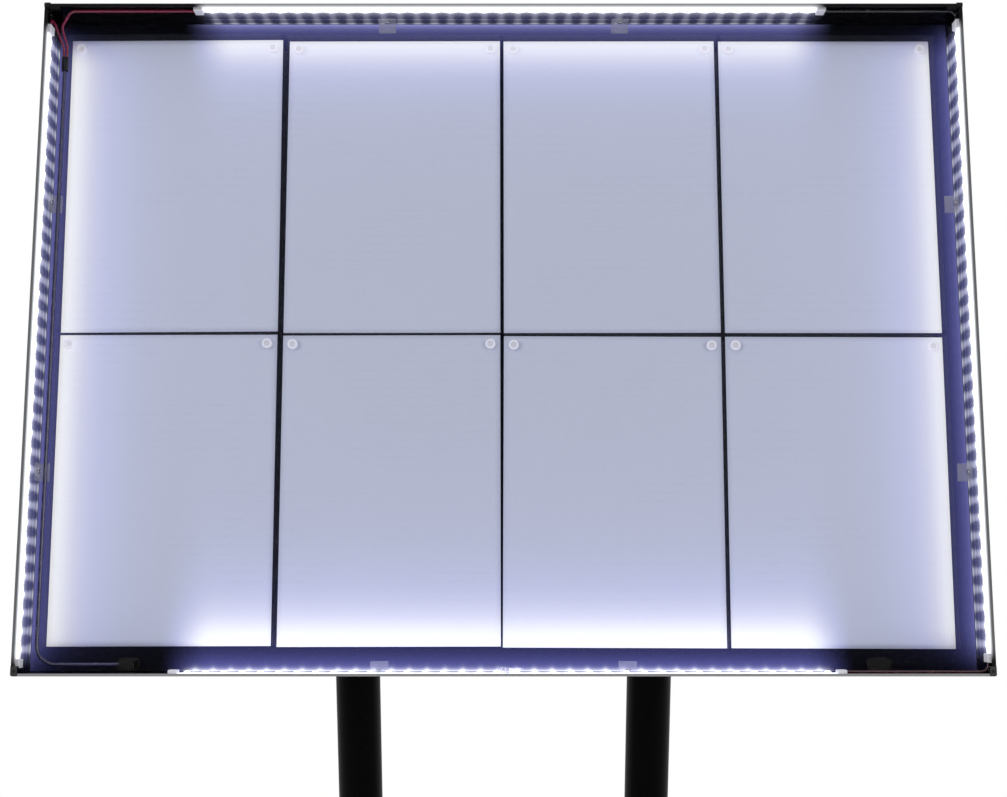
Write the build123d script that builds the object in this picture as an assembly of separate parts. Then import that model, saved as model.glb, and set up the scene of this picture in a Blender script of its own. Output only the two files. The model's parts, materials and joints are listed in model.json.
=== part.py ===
from build123d import *
import os
from math import cos, radians, sin, tan

# Information display case on two posts, in millimetres.
# X runs to the right, the front faces -Y, +Z is up, the origin is under the middle of the base plate.
# The case itself is drawn upright, with its front edge at y = 0 and its middle at z = 0, then leaned back.

# Paper sheets on the panel
sheet_width = 210.0
sheet_height = 297.0
sheet_thickness = 0.25
sheet_column_count = 4
sheet_row_count = 2
sheet_gap_across = 4.6
sheet_gap_up = 3.2
sheet_margin_across = 16.1
sheet_margin_up = 20.4
sheets_shift_across = -2.5
sheets_shift_up = 2.2
# How far each sheet hangs off its place, across and up, and its turn in degrees, upper row first
sheet_drifts = [
    (0.0, 0.6, 0.35),
    (1.5, -0.1, 0.10),
    (0.4, -0.2, 0.07),
    (0.0, -0.3, 0.00),
    (1.0, 1.0, 0.15),
    (2.0, 0.6, 0.12),
    (0.1, -0.5, -0.20),
    (-0.5, -1.1, -0.20),
]

# Magnets that hold the sheets
magnet_radius = 5.0
magnet_height = 4.0
magnet_round = 0.8
magnet_core_radius = 2.8
magnet_core_depth = 2.5
magnet_side_inset = 9.5
magnet_top_inset = 9.0

# Case shell
case_depth = 43.0
case_wall = 2.0
rear_flange = 20.0
back_panel_thickness = 1.2
back_panel_play = 0.5
case_tilt = 20.0
case_front_height = 900.0

# Door frame and pane
door_gap = 0.4
door_depth = 4.4
door_lip = 1.0
door_web = 1.5
door_rail_face = 4.0
door_bottom_face = 2.5
door_top_floor = 0.2
pane_thickness = 3.0
pane_play = 0.2
seal_thickness = 0.25
seal_joint = 0.2
corner_cap_width = 6.0
corner_cap_height = 9.0
corner_cap_proud = 0.8
corner_cap_round = 2.0
cap_screw_radius = 1.0
cap_screw_length = 3.0
cap_screw_head_radius = 1.6
cap_screw_head_height = 0.5

# Hinge at the two top corners
hinge_pin_radius = 1.0
hinge_pin_clearance = 0.04
hinge_block_length = 10.0
hinge_block_height = 6.5
hinge_block_play = 0.3
hinge_pin_spare = 1.0
ear_width = 5.0
ear_proud = 1.0
ear_swing_gap = 0.5
ear_tail_thickness = 2.5
ear_tail_depth = 4.5
ear_tail_height = 10.0
ear_rivet_radius = 1.2
ear_rivet_drop = 7.0

# Quarter-turn lock in the bottom wall
lock_setback = 30.0
lock_body_radius = 6.0
lock_body_play = 0.1
lock_flange_radius = 7.6
lock_flange_height = 1.5
lock_flange_round = 0.6
lock_plug_radius = 4.0
lock_plug_clearance = 0.05
lock_nut_across = 16.0
lock_nut_height = 2.2
lock_body_stand = 0.2
keyhole_width = 1.2
keyhole_length = 5.2
keyhole_depth = 1.0
cam_gap = 0.5
cam_thickness = 1.4
cam_hub_radius = 5.0
cam_radius = 18.5
cam_half_angle = 30.0
cam_slot_radius = 13.5
cam_slot_width = 3.8
cam_slot_past_angle = 12.0
cam_screw_radius = 1.25
cam_screw_length = 3.0
cam_screw_head_radius = 2.4
cam_screw_head_height = 1.0
keeper_width = 10.0
keeper_foot_thickness = 2.0
keeper_plate_thickness = 1.2
keeper_pin_radius = 1.5
keeper_end_margin = 1.5
keeper_clearance = 0.5
keeper_foot_start = 0.3

# Light strips, their end caps and the wires between them
strip_setback = 6.5
strip_width = 10.0
strip_thickness = 0.8
strip_length = 600.0
led_pitch = 50.0 / 3.0
led_size = 5.0
led_height = 1.6
strip_cap_length = 8.0
strip_cap_width = 11.0
strip_cap_height = 3.6
strip_cap_round = 1.0
strip_offset_top = 6.0
strip_offset_bottom = 3.6
strip_offset_left = -6.0
strip_offset_right = -1.0
wire_radius = 1.2
wire_stand = 1.6
wire_corner_radius = 6.0
feed_cable_radius = 1.8
feed_cable_from_wall = 7.0
feed_cable_from_panel = 3.8
feed_cable_bend = 18.0
splice_radius = 3.3
splice_length = 14.0
splice_top = 282.0
splice_wire_offset = 1.5
feed_wire_rise = 12.0
feed_wire_drop = 12.0
feed_wire_back = 10.0
feed_wire_bends = [7.0, 12.0, 10.0]
link_wire_rise = 9.0
link_wire_back = 10.0
link_wire_loop = 7.0
link_wire_bends = [6.0, 4.0, 3.5]

# Cable entry and blanked spare entry, low in the back panel
entry_from_side = 92.0
entry_from_floor = 7.0
entry_slot_width = 20.0
entry_slot_height = 9.0
entry_rim = 1.5
entry_rim_thickness = 1.5
entry_plug_play = 0.1
entry_rear_stand = 4.0
entry_hood_width = 14.0
entry_hood_height = 8.0
entry_hood_depth = 6.0
entry_cable_depth = 4.0

# Clips that hold the back panel against the rear flanges
clip_length = 17.0
clip_reach = 13.0
clip_stand = 10.0
clip_thickness = 1.5
clip_from_side = 327.0
clip_from_end = 187.0
clip_screw_radius = 1.5
clip_screw_head_radius = 2.5
clip_screw_head_height = 1.2

# Stand
post_radius = 21.2
post_wall = 2.6
post_spacing = 280.0
post_setback = -20.0
post_start_on_bar = 18.0
bar_width = 50.0
bar_thickness = 6.0
bar_end_margin = 3.0
bar_screw_spread = 30.0
bar_screw_radius = 2.5
bar_screw_clearance = 0.25
bar_screw_head_radius = 4.4
bar_screw_head_height = 2.6
bar_screw_head_round = 1.5
foot_radius = 55.0
foot_thickness = 8.0
foot_bolt_circle = 42.0
foot_bolt_count = 4
foot_bolt_radius = 4.0
foot_bolt_clearance = 0.5
foot_bolt_head_across = 13.0
foot_bolt_head_height = 5.3
base_width = 560.0
base_length = 420.0
base_thickness = 8.0
base_corner = 20.0
anchor_radius = 6.0
anchor_inset = 35.0

# Sides of the lock nut and the bolt heads
hexagon_side_count = 6

# Lines and planes that several pieces share, in the upright case
sheet_pitch_across = sheet_width + sheet_gap_across
sheet_pitch_up = sheet_height + sheet_gap_up
sheets_across = sheet_column_count * sheet_pitch_across - sheet_gap_across
sheets_up = sheet_row_count * sheet_pitch_up - sheet_gap_up
case_width = sheets_across + 2 * (sheet_margin_across + case_wall)
case_height = sheets_up + 2 * (sheet_margin_up + case_wall)
side = case_width / 2
top = case_height / 2
bottom = -top
inner_side = side - case_wall
ceiling = top - case_wall
floor = bottom + case_wall
entry_spread = inner_side - entry_from_side
clip_spread_across = inner_side - clip_from_side
clip_spread_up = ceiling - clip_from_end
panel_back = case_depth - case_wall
panel_front = panel_back - back_panel_thickness
sheet_front = panel_front - sheet_thickness
door_front = -door_gap - door_depth
door_back = -door_gap
pane_front = door_front + door_lip
pane_back = pane_front + pane_thickness
axis_depth = door_back - door_depth / 2
axis_up = top - door_depth / 2
ear_radius = door_depth / 2 + ear_proud
block_outer = side - ear_width - hinge_block_play
block_inner = block_outer - hinge_block_length
rail_end = axis_up - ear_radius - ear_swing_gap
pane_side = side - door_web - pane_play
pane_top = axis_up - door_top_floor - pane_play
pane_bottom = bottom + door_web + pane_play
cam_low = floor + lock_nut_height + cam_gap
cam_high = cam_low + cam_thickness
keeper_low = cam_high + keeper_clearance
keeper_pin_depth = lock_setback - cam_slot_radius
strip_cap_end = strip_length / 2 + strip_cap_length
bar_back = case_depth + bar_thickness
bar_half = top - bar_end_margin
bar_screw_up = top - (rear_flange + case_wall) / 2

# The lean of the case: its front lower edge ends up at case_front_height,
# and the fronts of the posts meet the mounting bars post_start_on_bar above their lower ends.
lean_sin = sin(radians(case_tilt))
lean_cos = cos(radians(case_tilt))
case_z = case_front_height - bottom * lean_cos + door_front * lean_sin
post_front = post_setback - post_radius
post_start = -bar_half + post_start_on_bar
case_y = post_front - bar_back * lean_cos - post_start * lean_sin
case_place = Pos(0, case_y, case_z) * Rot(-case_tilt, 0, 0)


def block(x0, x1, y0, y1, z0, z1):
    """Box between two corners."""
    return Pos((x0 + x1) / 2, (y0 + y1) / 2, (z0 + z1) / 2) * Box(x1 - x0, y1 - y0, z1 - z0)


def rod_across(radius, x0, x1, y, z):
    """Round bar along X."""
    return Pos((x0 + x1) / 2, y, z) * Rot(0, 90, 0) * Cylinder(radius, x1 - x0)


def rod_deep(radius, x, y0, y1, z):
    """Round bar along Y."""
    return Pos(x, (y0 + y1) / 2, z) * Rot(90, 0, 0) * Cylinder(radius, y1 - y0)


def rod_up(radius, x, y, z0, z1):
    """Round bar along Z."""
    return Pos(x, y, (z0 + z1) / 2) * Cylinder(radius, z1 - z0)


def both_sides(piece):
    """A piece and its mirror image on the other side of the case."""
    return [piece, mirror(piece, about=Plane.YZ)]


def on_wall(piece, wall, along):
    """Moves a piece drawn on z = 0 with the case's inside above it onto the inside of one wall."""
    places = {
        "bottom": Pos(along, 0, floor),
        "top": Pos(along, 0, ceiling) * Rot(0, 180, 0),
        "left": Pos(-inner_side, 0, along) * Rot(0, 90, 0),
        "right": Pos(inner_side, 0, along) * Rot(0, -90, 0),
    }
    return places[wall] * piece


def slot_shape(width, height):
    """Upright slot outline with round ends, ready to be extruded along Y."""
    return Plane.XZ * SlotOverall(width, height)


def slot_block(width, height, x, y0, y1, z):
    """Solid with a slot outline between two depths."""
    return Pos(x, y1, z) * extrude(slot_shape(width, height), amount=y1 - y0)


def wedge(low_angle, high_angle, reach):
    """Flat triangle with its tip at the origin between two directions."""
    tips = [(reach * cos(radians(a)), reach * sin(radians(a))) for a in (low_angle, high_angle)]
    return make_face(Polyline((0, 0), tips[0], tips[1], close=True))


def cord(points, radius, bends):
    """Round cord through the points, with one bend radius for each corner."""
    path = FilletPolyline(*points, radius=bends)
    start = Plane(path @ 0, z_dir=path % 0)
    return sweep(start * Circle(radius), path=path)


def save(name, piece, place=Pos(0, 0, 0)):
    """Writes one node: a solid, or a list of solids kept together under one name."""
    if isinstance(piece, list):
        node = Compound(children=[place * solid for solid in piece])
    else:
        node = place * piece
    export_step(node, os.path.join("parts", name + ".step"))


def clip_spots():
    """Wall and place along it of each panel clip."""
    spots = []
    for sign in (-1, 1):
        spots += [("top", sign * clip_spread_across), ("bottom", sign * clip_spread_across)]
        spots += [("left", sign * clip_spread_up), ("right", sign * clip_spread_up)]
    return spots


def clip_hole_depth():
    """Depth of a clip's screw behind the case's front edge."""
    return panel_front - (clip_reach + clip_thickness) / 2


def clip_screw_holes():
    """Cutters for the clip screws through the four walls."""
    hole = rod_up(clip_screw_radius, 0, clip_hole_depth(), -case_wall, clip_thickness)
    return [on_wall(hole, wall, along) for wall, along in clip_spots()]


def bar_screw_spots():
    """Across and up of each screw that holds the mounting bars."""
    columns = [s * post_spacing / 2 + t * bar_screw_spread / 2 for s in (-1, 1) for t in (-1, 1)]
    return [(x, z) for x in columns for z in (-bar_screw_up, bar_screw_up)]


def bar_screw_shanks(radius, y0, y1):
    """Round bars at the bar screws between two depths."""
    return [rod_deep(radius, x, y0, y1, z) for x, z in bar_screw_spots()]


def ear_rivet(x0, x1):
    """Rivet bar of the right ear between two places across."""
    return rod_across(ear_rivet_radius, x0, x1, ear_tail_depth / 2, ceiling - ear_rivet_drop)


def case_walls():
    """Four welded wall profiles, each a web with a flange turned in at the rear."""
    holes = clip_screw_holes() + bar_screw_shanks(bar_screw_radius, panel_back, case_depth)
    holes += both_sides(ear_rivet(inner_side, side))
    lock_hole = rod_up(lock_body_radius + lock_body_play, 0, lock_setback, bottom, floor)
    flange_line = top - rear_flange
    upper = block(-inner_side, inner_side, 0, case_depth, ceiling, top)
    upper += block(-inner_side, inner_side, panel_back, case_depth, flange_line, ceiling)
    lower = mirror(upper, about=Plane.XY) - lock_hole - entry_slots(panel_back, case_depth)
    right = block(inner_side, side, 0, case_depth, bottom, top)
    right += block(side - rear_flange, inner_side, panel_back, case_depth, -flange_line, flange_line)
    left = mirror(right, about=Plane.YZ)
    walls = {"top": upper, "bottom": lower, "left": left, "right": right}
    return {name: wall - holes for name, wall in walls.items()}


def entry_slots(y0, y1):
    """Cutters for the two entry slots between two depths."""
    up = floor + entry_from_floor
    places = (-entry_spread, entry_spread)
    return [slot_block(entry_slot_width, entry_slot_height, x, y0, y1, up) for x in places]


def back_panel():
    """Magnetic sheet with the two entry slots."""
    half_width = inner_side - back_panel_play
    half_height = ceiling - back_panel_play
    panel = block(-half_width, half_width, panel_front, panel_back, -half_height, half_height)
    return panel - entry_slots(panel_front, panel_back)


def entry_plug(x):
    """Slot plug with a rim on the front of the panel."""
    up = floor + entry_from_floor
    rim_width = entry_slot_width + 2 * entry_rim
    rim_height = entry_slot_height + 2 * entry_rim
    rim_front = panel_front - entry_rim_thickness
    plug_width = entry_slot_width - 2 * entry_plug_play
    plug_height = entry_slot_height - 2 * entry_plug_play
    rim = slot_block(rim_width, rim_height, x, rim_front, panel_front, up)
    plug = slot_block(plug_width, plug_height, x, panel_front, panel_back + entry_rear_stand, up)
    return rim + plug


def feed_line():
    """Depth and height of the supply cable's lower run."""
    return panel_front - feed_cable_from_panel, floor + entry_from_floor


def cable_entry():
    """Entry plug with a hood that takes the cable from the side."""
    depth, up = feed_line()
    rim_front = panel_front - entry_rim_thickness
    hood = block(
        -entry_spread - entry_hood_width / 2,
        -entry_spread + entry_hood_width / 2,
        rim_front - entry_hood_depth,
        rim_front,
        up - entry_hood_height / 2,
        up + entry_hood_height / 2,
    )
    outer = -entry_spread - entry_hood_width / 2
    bore = rod_across(feed_cable_radius, outer - entry_slot_width, outer + entry_cable_depth, depth, up)
    return entry_plug(-entry_spread) + hood - bore


def feed_cable():
    """Supply cable from its entry along the floor and up the left corner to the splice."""
    depth, up = feed_line()
    corner = -inner_side + feed_cable_from_wall
    start = -entry_spread - entry_hood_width / 2 + entry_cable_depth
    points = [(start, depth, up), (corner, depth, up), (corner, depth, splice_top - splice_length)]
    return cord(points, feed_cable_radius, feed_cable_bend)


def splice_spot():
    """Across and depth of the splice sleeve's middle."""
    return -inner_side + feed_cable_from_wall, panel_front - feed_cable_from_panel


def feed_splice():
    """Shrink sleeve between the cable and the two wires that leave it."""
    x, depth = splice_spot()
    return rod_up(splice_radius, x, depth, splice_top - splice_length, splice_top)


def feed_wire():
    """Wire from the splice forward to the ceiling and along it to the top strip."""
    x, depth = splice_spot()
    along = ceiling - wire_stand
    start = x + splice_wire_offset
    points = [
        (start, depth, splice_top),
        (start, depth, splice_top + feed_wire_rise),
        (start, strip_setback + feed_wire_back, along - feed_wire_drop),
        (start + feed_wire_drop, strip_setback, along),
        (strip_offset_top - strip_cap_end, strip_setback, along),
    ]
    return cord(points, wire_radius, feed_wire_bends)


def left_link_wire():
    """Wire from the splice to the left strip's upper cap."""
    x, depth = splice_spot()
    start = x - splice_wire_offset
    wall_line = -inner_side + wire_stand
    cap_top = strip_offset_left + strip_cap_end
    points = [
        (start, depth, splice_top),
        (start, depth, splice_top + link_wire_rise),
        (wall_line, strip_setback + link_wire_back, cap_top + link_wire_loop),
        (wall_line, strip_setback, cap_top + link_wire_loop),
        (wall_line, strip_setback, cap_top),
    ]
    return cord(points, wire_radius, link_wire_bends)


def right_link_wire():
    """Wire along the ceiling from the top strip to the right strip's upper cap."""
    along = ceiling - wire_stand
    wall_line = inner_side - wire_stand
    points = [
        (strip_offset_top + strip_cap_end, strip_setback, along),
        (wall_line, strip_setback, along),
        (wall_line, strip_setback, strip_offset_right + strip_cap_end),
    ]
    return cord(points, wire_radius, wire_corner_radius)


def bottom_link_wire():
    """Wire from the right strip's lower cap along the floor to the bottom strip."""
    along = floor + wire_stand
    wall_line = inner_side - wire_stand
    points = [
        (wall_line, strip_setback, strip_offset_right - strip_cap_end),
        (wall_line, strip_setback, along),
        (strip_offset_bottom + strip_cap_end, strip_setback, along),
    ]
    return cord(points, wire_radius, wire_corner_radius)


def strip_places():
    """Wall and middle of each light strip."""
    return {
        "top": strip_offset_top,
        "bottom": strip_offset_bottom,
        "left": strip_offset_left,
        "right": strip_offset_right,
    }


def led_strip():
    """Bare strip on its wall."""
    half = strip_length / 2
    low = strip_setback - strip_width / 2
    return block(-half, half, low, low + strip_width, 0, strip_thickness)


def led_chips():
    """Square light chips along one strip."""
    count = round(strip_length / led_pitch)
    chip = block(
        -led_size / 2,
        led_size / 2,
        strip_setback - led_size / 2,
        strip_setback + led_size / 2,
        strip_thickness,
        strip_thickness + led_height,
    )
    first = -(count - 1) * led_pitch / 2
    return [Pos(first + n * led_pitch, 0, 0) * chip for n in range(count)]


def strip_caps():
    """End caps of one strip."""
    low = strip_setback - strip_cap_width / 2
    cap = block(strip_length / 2, strip_cap_end, low, low + strip_cap_width, 0, strip_cap_height)
    cap = fillet(cap.faces().sort_by(Axis.Z)[-1].edges(), strip_cap_round)
    return both_sides(cap)


def panel_clip():
    """Angle clip with one leg on the wall and the other on the panel."""
    half = clip_length / 2
    clip = block(-half, half, panel_front - clip_reach, panel_front, 0, clip_thickness)
    clip += block(-half, half, panel_front - clip_thickness, panel_front, clip_thickness, clip_stand)
    return clip - rod_up(clip_screw_radius, 0, clip_hole_depth(), 0, clip_thickness)


def clip_screw():
    """Screw through a clip into its wall."""
    depth = clip_hole_depth()
    shank = rod_up(clip_screw_radius, 0, depth, -case_wall, clip_thickness)
    head = rod_up(clip_screw_head_radius, 0, depth, clip_thickness, clip_thickness + clip_screw_head_height)
    return shank + fillet(head.faces().sort_by(Axis.Z)[-1].edges(), clip_screw_head_height / 2)


def sheet_places():
    """Across, up and turn of each sheet, row by row from the upper left."""
    places = []
    for n, (drift_across, drift_up, turn) in enumerate(sheet_drifts):
        row, column = divmod(n, sheet_column_count)
        across = (column - (sheet_column_count - 1) / 2) * sheet_pitch_across
        up = ((sheet_row_count - 1) / 2 - row) * sheet_pitch_up
        places.append((across + sheets_shift_across + drift_across, up + sheets_shift_up + drift_up, turn))
    return places


def info_sheet(place):
    """Paper sheet on the panel."""
    across, up, turn = place
    sheet = Box(sheet_width, sheet_thickness, sheet_height)
    return Pos(across, panel_front - sheet_thickness / 2, up) * Rot(0, -turn, 0) * sheet


def magnet_spots():
    """Across and up of each magnet, two to a sheet."""
    spots = []
    for across, up, turn in sheet_places():
        drop = sheet_height / 2 - magnet_top_inset
        for sign in (-1, 1):
            reach = sign * (sheet_width / 2 - magnet_side_inset)
            x = across + reach * cos(radians(turn)) - drop * sin(radians(turn))
            z = up + reach * sin(radians(turn)) + drop * cos(radians(turn))
            spots.append((x, z))
    return spots


def magnet_housing(x, z):
    """Round magnet cup with a recess in its front."""
    front = sheet_front - magnet_height
    cup = rod_deep(magnet_radius, x, front, sheet_front, z)
    cup = fillet(cup.faces().sort_by(Axis.Y)[0].edges(), magnet_round)
    return cup - rod_deep(magnet_core_radius, x, front, front + magnet_core_depth, z)


def magnet_core(x, z):
    """Magnet seated in its cup."""
    front = sheet_front - magnet_height
    return rod_deep(magnet_core_radius, x, front + magnet_round, front + magnet_core_depth, z)


def round_top(x0, x1, low):
    """Bar of the door's full depth, with its top rounded about the hinge axis."""
    bar = rod_across(door_depth / 2, x0, x1, axis_depth, axis_up)
    bar &= block(x0, x1, door_front, door_back, axis_up, top)
    return bar + block(x0, x1, door_front, door_back, low, axis_up)


def door_top_rail():
    """Top rail with a rebate for the pane behind its lip."""
    low = top - door_rail_face
    rail = round_top(-block_inner, block_inner, low)
    rebate_top = axis_up - door_top_floor
    return rail - block(-block_inner, block_inner, pane_front, door_back, low, rebate_top)


def door_bottom_rail():
    """Bottom rail, an angle that the pane stands in."""
    half = side - corner_cap_width
    rail = block(-half, half, door_front, door_back, bottom, bottom + door_web)
    lip_top = bottom + door_bottom_face
    return rail + block(-half, half, door_front, pane_front, bottom + door_web, lip_top)


def door_side_rail():
    """Right rail, an angle beside the pane."""
    low = bottom + corner_cap_height
    rail = block(side - door_web, side, door_front, door_back, low, rail_end)
    return rail + block(side - door_rail_face, side - door_web, door_front, pane_front, low, rail_end)


def hinge_block():
    """Right hinge block on the door, bored for the pin."""
    bar = round_top(block_inner, block_outer, top - hinge_block_height)
    bore = hinge_pin_radius + hinge_pin_clearance
    return bar - rod_across(bore, block_inner, block_outer, axis_depth, axis_up)


def corner_cap():
    """Right lower corner of the door, proud of the rails and rounded."""
    low = side - corner_cap_width
    cap_front = door_front - corner_cap_proud
    cap = block(low, side, cap_front, door_back, bottom, bottom + corner_cap_height)
    outer = cap.edges().filter_by(Axis.Y).sort_by(Axis.X)[-2:].sort_by(Axis.Z)[0]
    cap = fillet(outer, corner_cap_round)
    cap = fillet(cap.faces().sort_by(Axis.Y)[0].edges(), corner_cap_proud / 2)
    return cap - cap_screw_shank()


def cap_screw_shank():
    """Shank of the right cap screw."""
    x = side - corner_cap_width / 2
    z = bottom + corner_cap_height / 2
    cap_front = door_front - corner_cap_proud
    return rod_deep(cap_screw_radius, x, cap_front, cap_front + cap_screw_length, z)


def cap_screw():
    """Screw in the right corner cap."""
    x = side - corner_cap_width / 2
    z = bottom + corner_cap_height / 2
    cap_front = door_front - corner_cap_proud
    head = rod_deep(cap_screw_head_radius, x, cap_front - cap_screw_head_height, cap_front, z)
    head = fillet(head.faces().sort_by(Axis.Y)[0].edges(), cap_screw_head_height / 2)
    return head + cap_screw_shank()


def door_pane():
    """Clear pane, cut out at the hinge blocks and the corner caps."""
    pane = block(-pane_side, pane_side, pane_front, pane_back, pane_bottom, pane_top)
    upper = block(
        block_inner - pane_play, side, pane_front, pane_back, top - hinge_block_height - pane_play, top
    )
    lower = block(
        side - corner_cap_width - pane_play,
        side,
        pane_front,
        pane_back,
        bottom,
        bottom + corner_cap_height + pane_play,
    )
    return pane - both_sides(upper) - both_sides(lower)


def door_seals():
    """Flat seal strips on the front edges of the four walls."""
    upright = block(inner_side, side, -seal_thickness, 0, bottom, rail_end)
    ceiling_half = side - ear_width
    upper = block(-ceiling_half, ceiling_half, -seal_thickness, 0, ceiling, top)
    floor_half = inner_side - seal_joint
    lower = block(-floor_half, floor_half, -seal_thickness, 0, bottom, floor)
    return both_sides(upright) + [upper, lower]


def hinge_ear():
    """Right hinge ear: a round knuckle in front of the case and a tail riveted inside its side wall."""
    low = side - ear_width
    ear = rod_across(ear_radius, low, side, axis_depth, axis_up)
    ear += block(low, side, axis_depth, 0, axis_up - ear_radius, top)
    ear -= block(low, side, 0, case_depth, bottom, top + ear_radius)
    tail_side = inner_side - ear_tail_thickness
    ear += block(tail_side, inner_side, 0, ear_tail_depth, ceiling - ear_tail_height, ceiling)
    ear -= rod_across(hinge_pin_radius, low, side, axis_depth, axis_up)
    return ear - ear_rivet(tail_side, inner_side)


def hinge_pin():
    """Right hinge pin, fast in the ear and free in the door's block."""
    return rod_across(hinge_pin_radius, block_inner + hinge_pin_spare, side, axis_depth, axis_up)


def lock_housing():
    """Threaded lock body with its face flange under the bottom wall."""
    body_top = floor + lock_nut_height + lock_body_stand
    face = rod_up(lock_flange_radius, 0, lock_setback, bottom - lock_flange_height, bottom)
    face = fillet(face.faces().sort_by(Axis.Z)[0].edges(), lock_flange_round)
    body = face + rod_up(lock_body_radius, 0, lock_setback, bottom, body_top)
    bore = lock_plug_radius + lock_plug_clearance
    return body - rod_up(bore, 0, lock_setback, bottom - lock_flange_height, body_top)


def lock_nut():
    """Hexagon nut on the lock body."""
    outline = RegularPolygon(lock_nut_across / 2, hexagon_side_count, major_radius=False)
    outline -= Circle(lock_body_radius)
    return Pos(0, lock_setback, floor) * extrude(outline, amount=lock_nut_height)


def lock_plug():
    """Turning core with its keyhole below and a tapped hole above."""
    low = bottom - lock_flange_height
    plug = rod_up(lock_plug_radius, 0, lock_setback, low, cam_low)
    keyhole = block(
        -keyhole_width / 2,
        keyhole_width / 2,
        lock_setback - keyhole_length / 2,
        lock_setback + keyhole_length / 2,
        low,
        low + keyhole_depth,
    )
    return plug - keyhole - rod_up(cam_screw_radius, 0, lock_setback, cam_low - cam_screw_length, cam_low)


def lock_cam():
    """Hooked cam, drawn unlocked, with an arc slot that takes the keeper's pin."""
    reach = 2 * cam_radius
    arm = Circle(cam_radius) & wedge(-cam_half_angle, cam_half_angle, reach)
    ring = Circle(cam_slot_radius + cam_slot_width / 2) - Circle(cam_slot_radius - cam_slot_width / 2)
    slot = ring & wedge(-2 * cam_half_angle, cam_slot_past_angle, 2 * reach)
    outline = arm + Circle(cam_hub_radius) - slot - Circle(cam_screw_radius)
    return Pos(0, lock_setback, cam_low) * extrude(outline, amount=cam_thickness)


def cam_screw():
    """Screw that holds the cam on the plug."""
    shank = rod_up(cam_screw_radius, 0, lock_setback, cam_low - cam_screw_length, cam_high)
    head = rod_up(cam_screw_head_radius, 0, lock_setback, cam_high, cam_high + cam_screw_head_height)
    return shank + fillet(head.faces().sort_by(Axis.Z)[-1].edges(), cam_screw_head_height / 2)


def lock_keeper():
    """Clear keeper bonded to the pane, with a pin that hangs in the cam's slot when locked."""
    half = keeper_width / 2
    foot_low = bottom + door_bottom_face + keeper_foot_start
    keeper_high = keeper_low + keeper_plate_thickness
    foot_back = pane_back + keeper_foot_thickness
    plate_end = keeper_pin_depth + keeper_pin_radius + keeper_end_margin
    foot = block(-half, half, pane_back, foot_back, foot_low, keeper_high)
    plate = block(-half, half, foot_back, plate_end, keeper_low, keeper_high)
    pin = rod_up(keeper_pin_radius, 0, keeper_pin_depth, cam_low + keeper_clearance, keeper_low)
    return foot + plate + pin


def mounting_bar():
    """Right bar on the back of the case, screwed to its upper and lower flanges."""
    middle = post_spacing / 2
    bar = block(
        middle - bar_width / 2, middle + bar_width / 2, case_depth, bar_back, -bar_half, bar_half
    )
    return bar - bar_screw_shanks(bar_screw_radius + bar_screw_clearance, case_depth, bar_back)


def bar_screw(x, z):
    """Button-head screw through a bar into a flange."""
    head = rod_deep(bar_screw_head_radius, x, bar_back, bar_back + bar_screw_head_height, z)
    head = fillet(head.faces().sort_by(Axis.Y)[-1].edges(), bar_screw_head_round)
    return head + rod_deep(bar_screw_radius, x, panel_back, bar_back, z)


def post():
    """Right post, mitred against the back of its mounting bar."""
    low = base_thickness + foot_thickness
    rear_rise = 2 * post_radius / tan(radians(case_tilt))
    high = case_front_height + rear_rise + post_radius
    x = post_spacing / 2
    tube = rod_up(post_radius, x, post_setback, low, high)
    tube -= rod_up(post_radius - post_wall, x, post_setback, low, high)
    bar_face = case_place * Pos(0, bar_back, 0)
    mitre = Plane(bar_face.position, x_dir=(1, 0, 0), z_dir=(0, lean_cos, -lean_sin))
    return split(tube, bisect_by=mitre, keep=Keep.TOP)


def foot_bolt_spots():
    """Places of the bolts in the two foot flanges."""
    spots = []
    for sign in (-1, 1):
        for n in range(foot_bolt_count):
            angle = radians((n + 0.5) * 360 / foot_bolt_count)
            x = sign * post_spacing / 2 + foot_bolt_circle * cos(angle)
            spots.append((x, post_setback + foot_bolt_circle * sin(angle)))
    return spots


def foot_flange():
    """Right foot flange under its post."""
    low = base_thickness
    flange = rod_up(foot_radius, post_spacing / 2, post_setback, low, low + foot_thickness)
    hole = foot_bolt_radius + foot_bolt_clearance
    return flange - [rod_up(hole, x, y, low, low + foot_thickness) for x, y in foot_bolt_spots()]


def foot_bolt(x, y):
    """Hexagon bolt through a foot flange into the base plate."""
    seat = base_thickness + foot_thickness
    outline = RegularPolygon(foot_bolt_head_across / 2, hexagon_side_count, major_radius=False)
    head = Pos(x, y, seat) * extrude(outline, amount=foot_bolt_head_height)
    return head + rod_up(foot_bolt_radius, x, y, 0, seat)


def base_plate():
    """Floor plate with four anchor holes and the tapped holes for the feet."""
    plate = extrude(RectangleRounded(base_width, base_length, base_corner), amount=base_thickness)
    across = base_width / 2 - anchor_inset
    along = base_length / 2 - anchor_inset
    anchors = [
        rod_up(anchor_radius, sx * across, sy * along, 0, base_thickness)
        for sx in (-1, 1)
        for sy in (-1, 1)
    ]
    tapped = [rod_up(foot_bolt_radius, x, y, 0, base_thickness) for x, y in foot_bolt_spots()]
    return plate - anchors - tapped


def save_pair(name, piece, place=Pos(0, 0, 0)):
    """Writes a right-hand piece and its mirror image as two nodes."""
    right, left = both_sides(piece)
    save(name + "_right", right, place)
    save(name + "_left", left, place)


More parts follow.
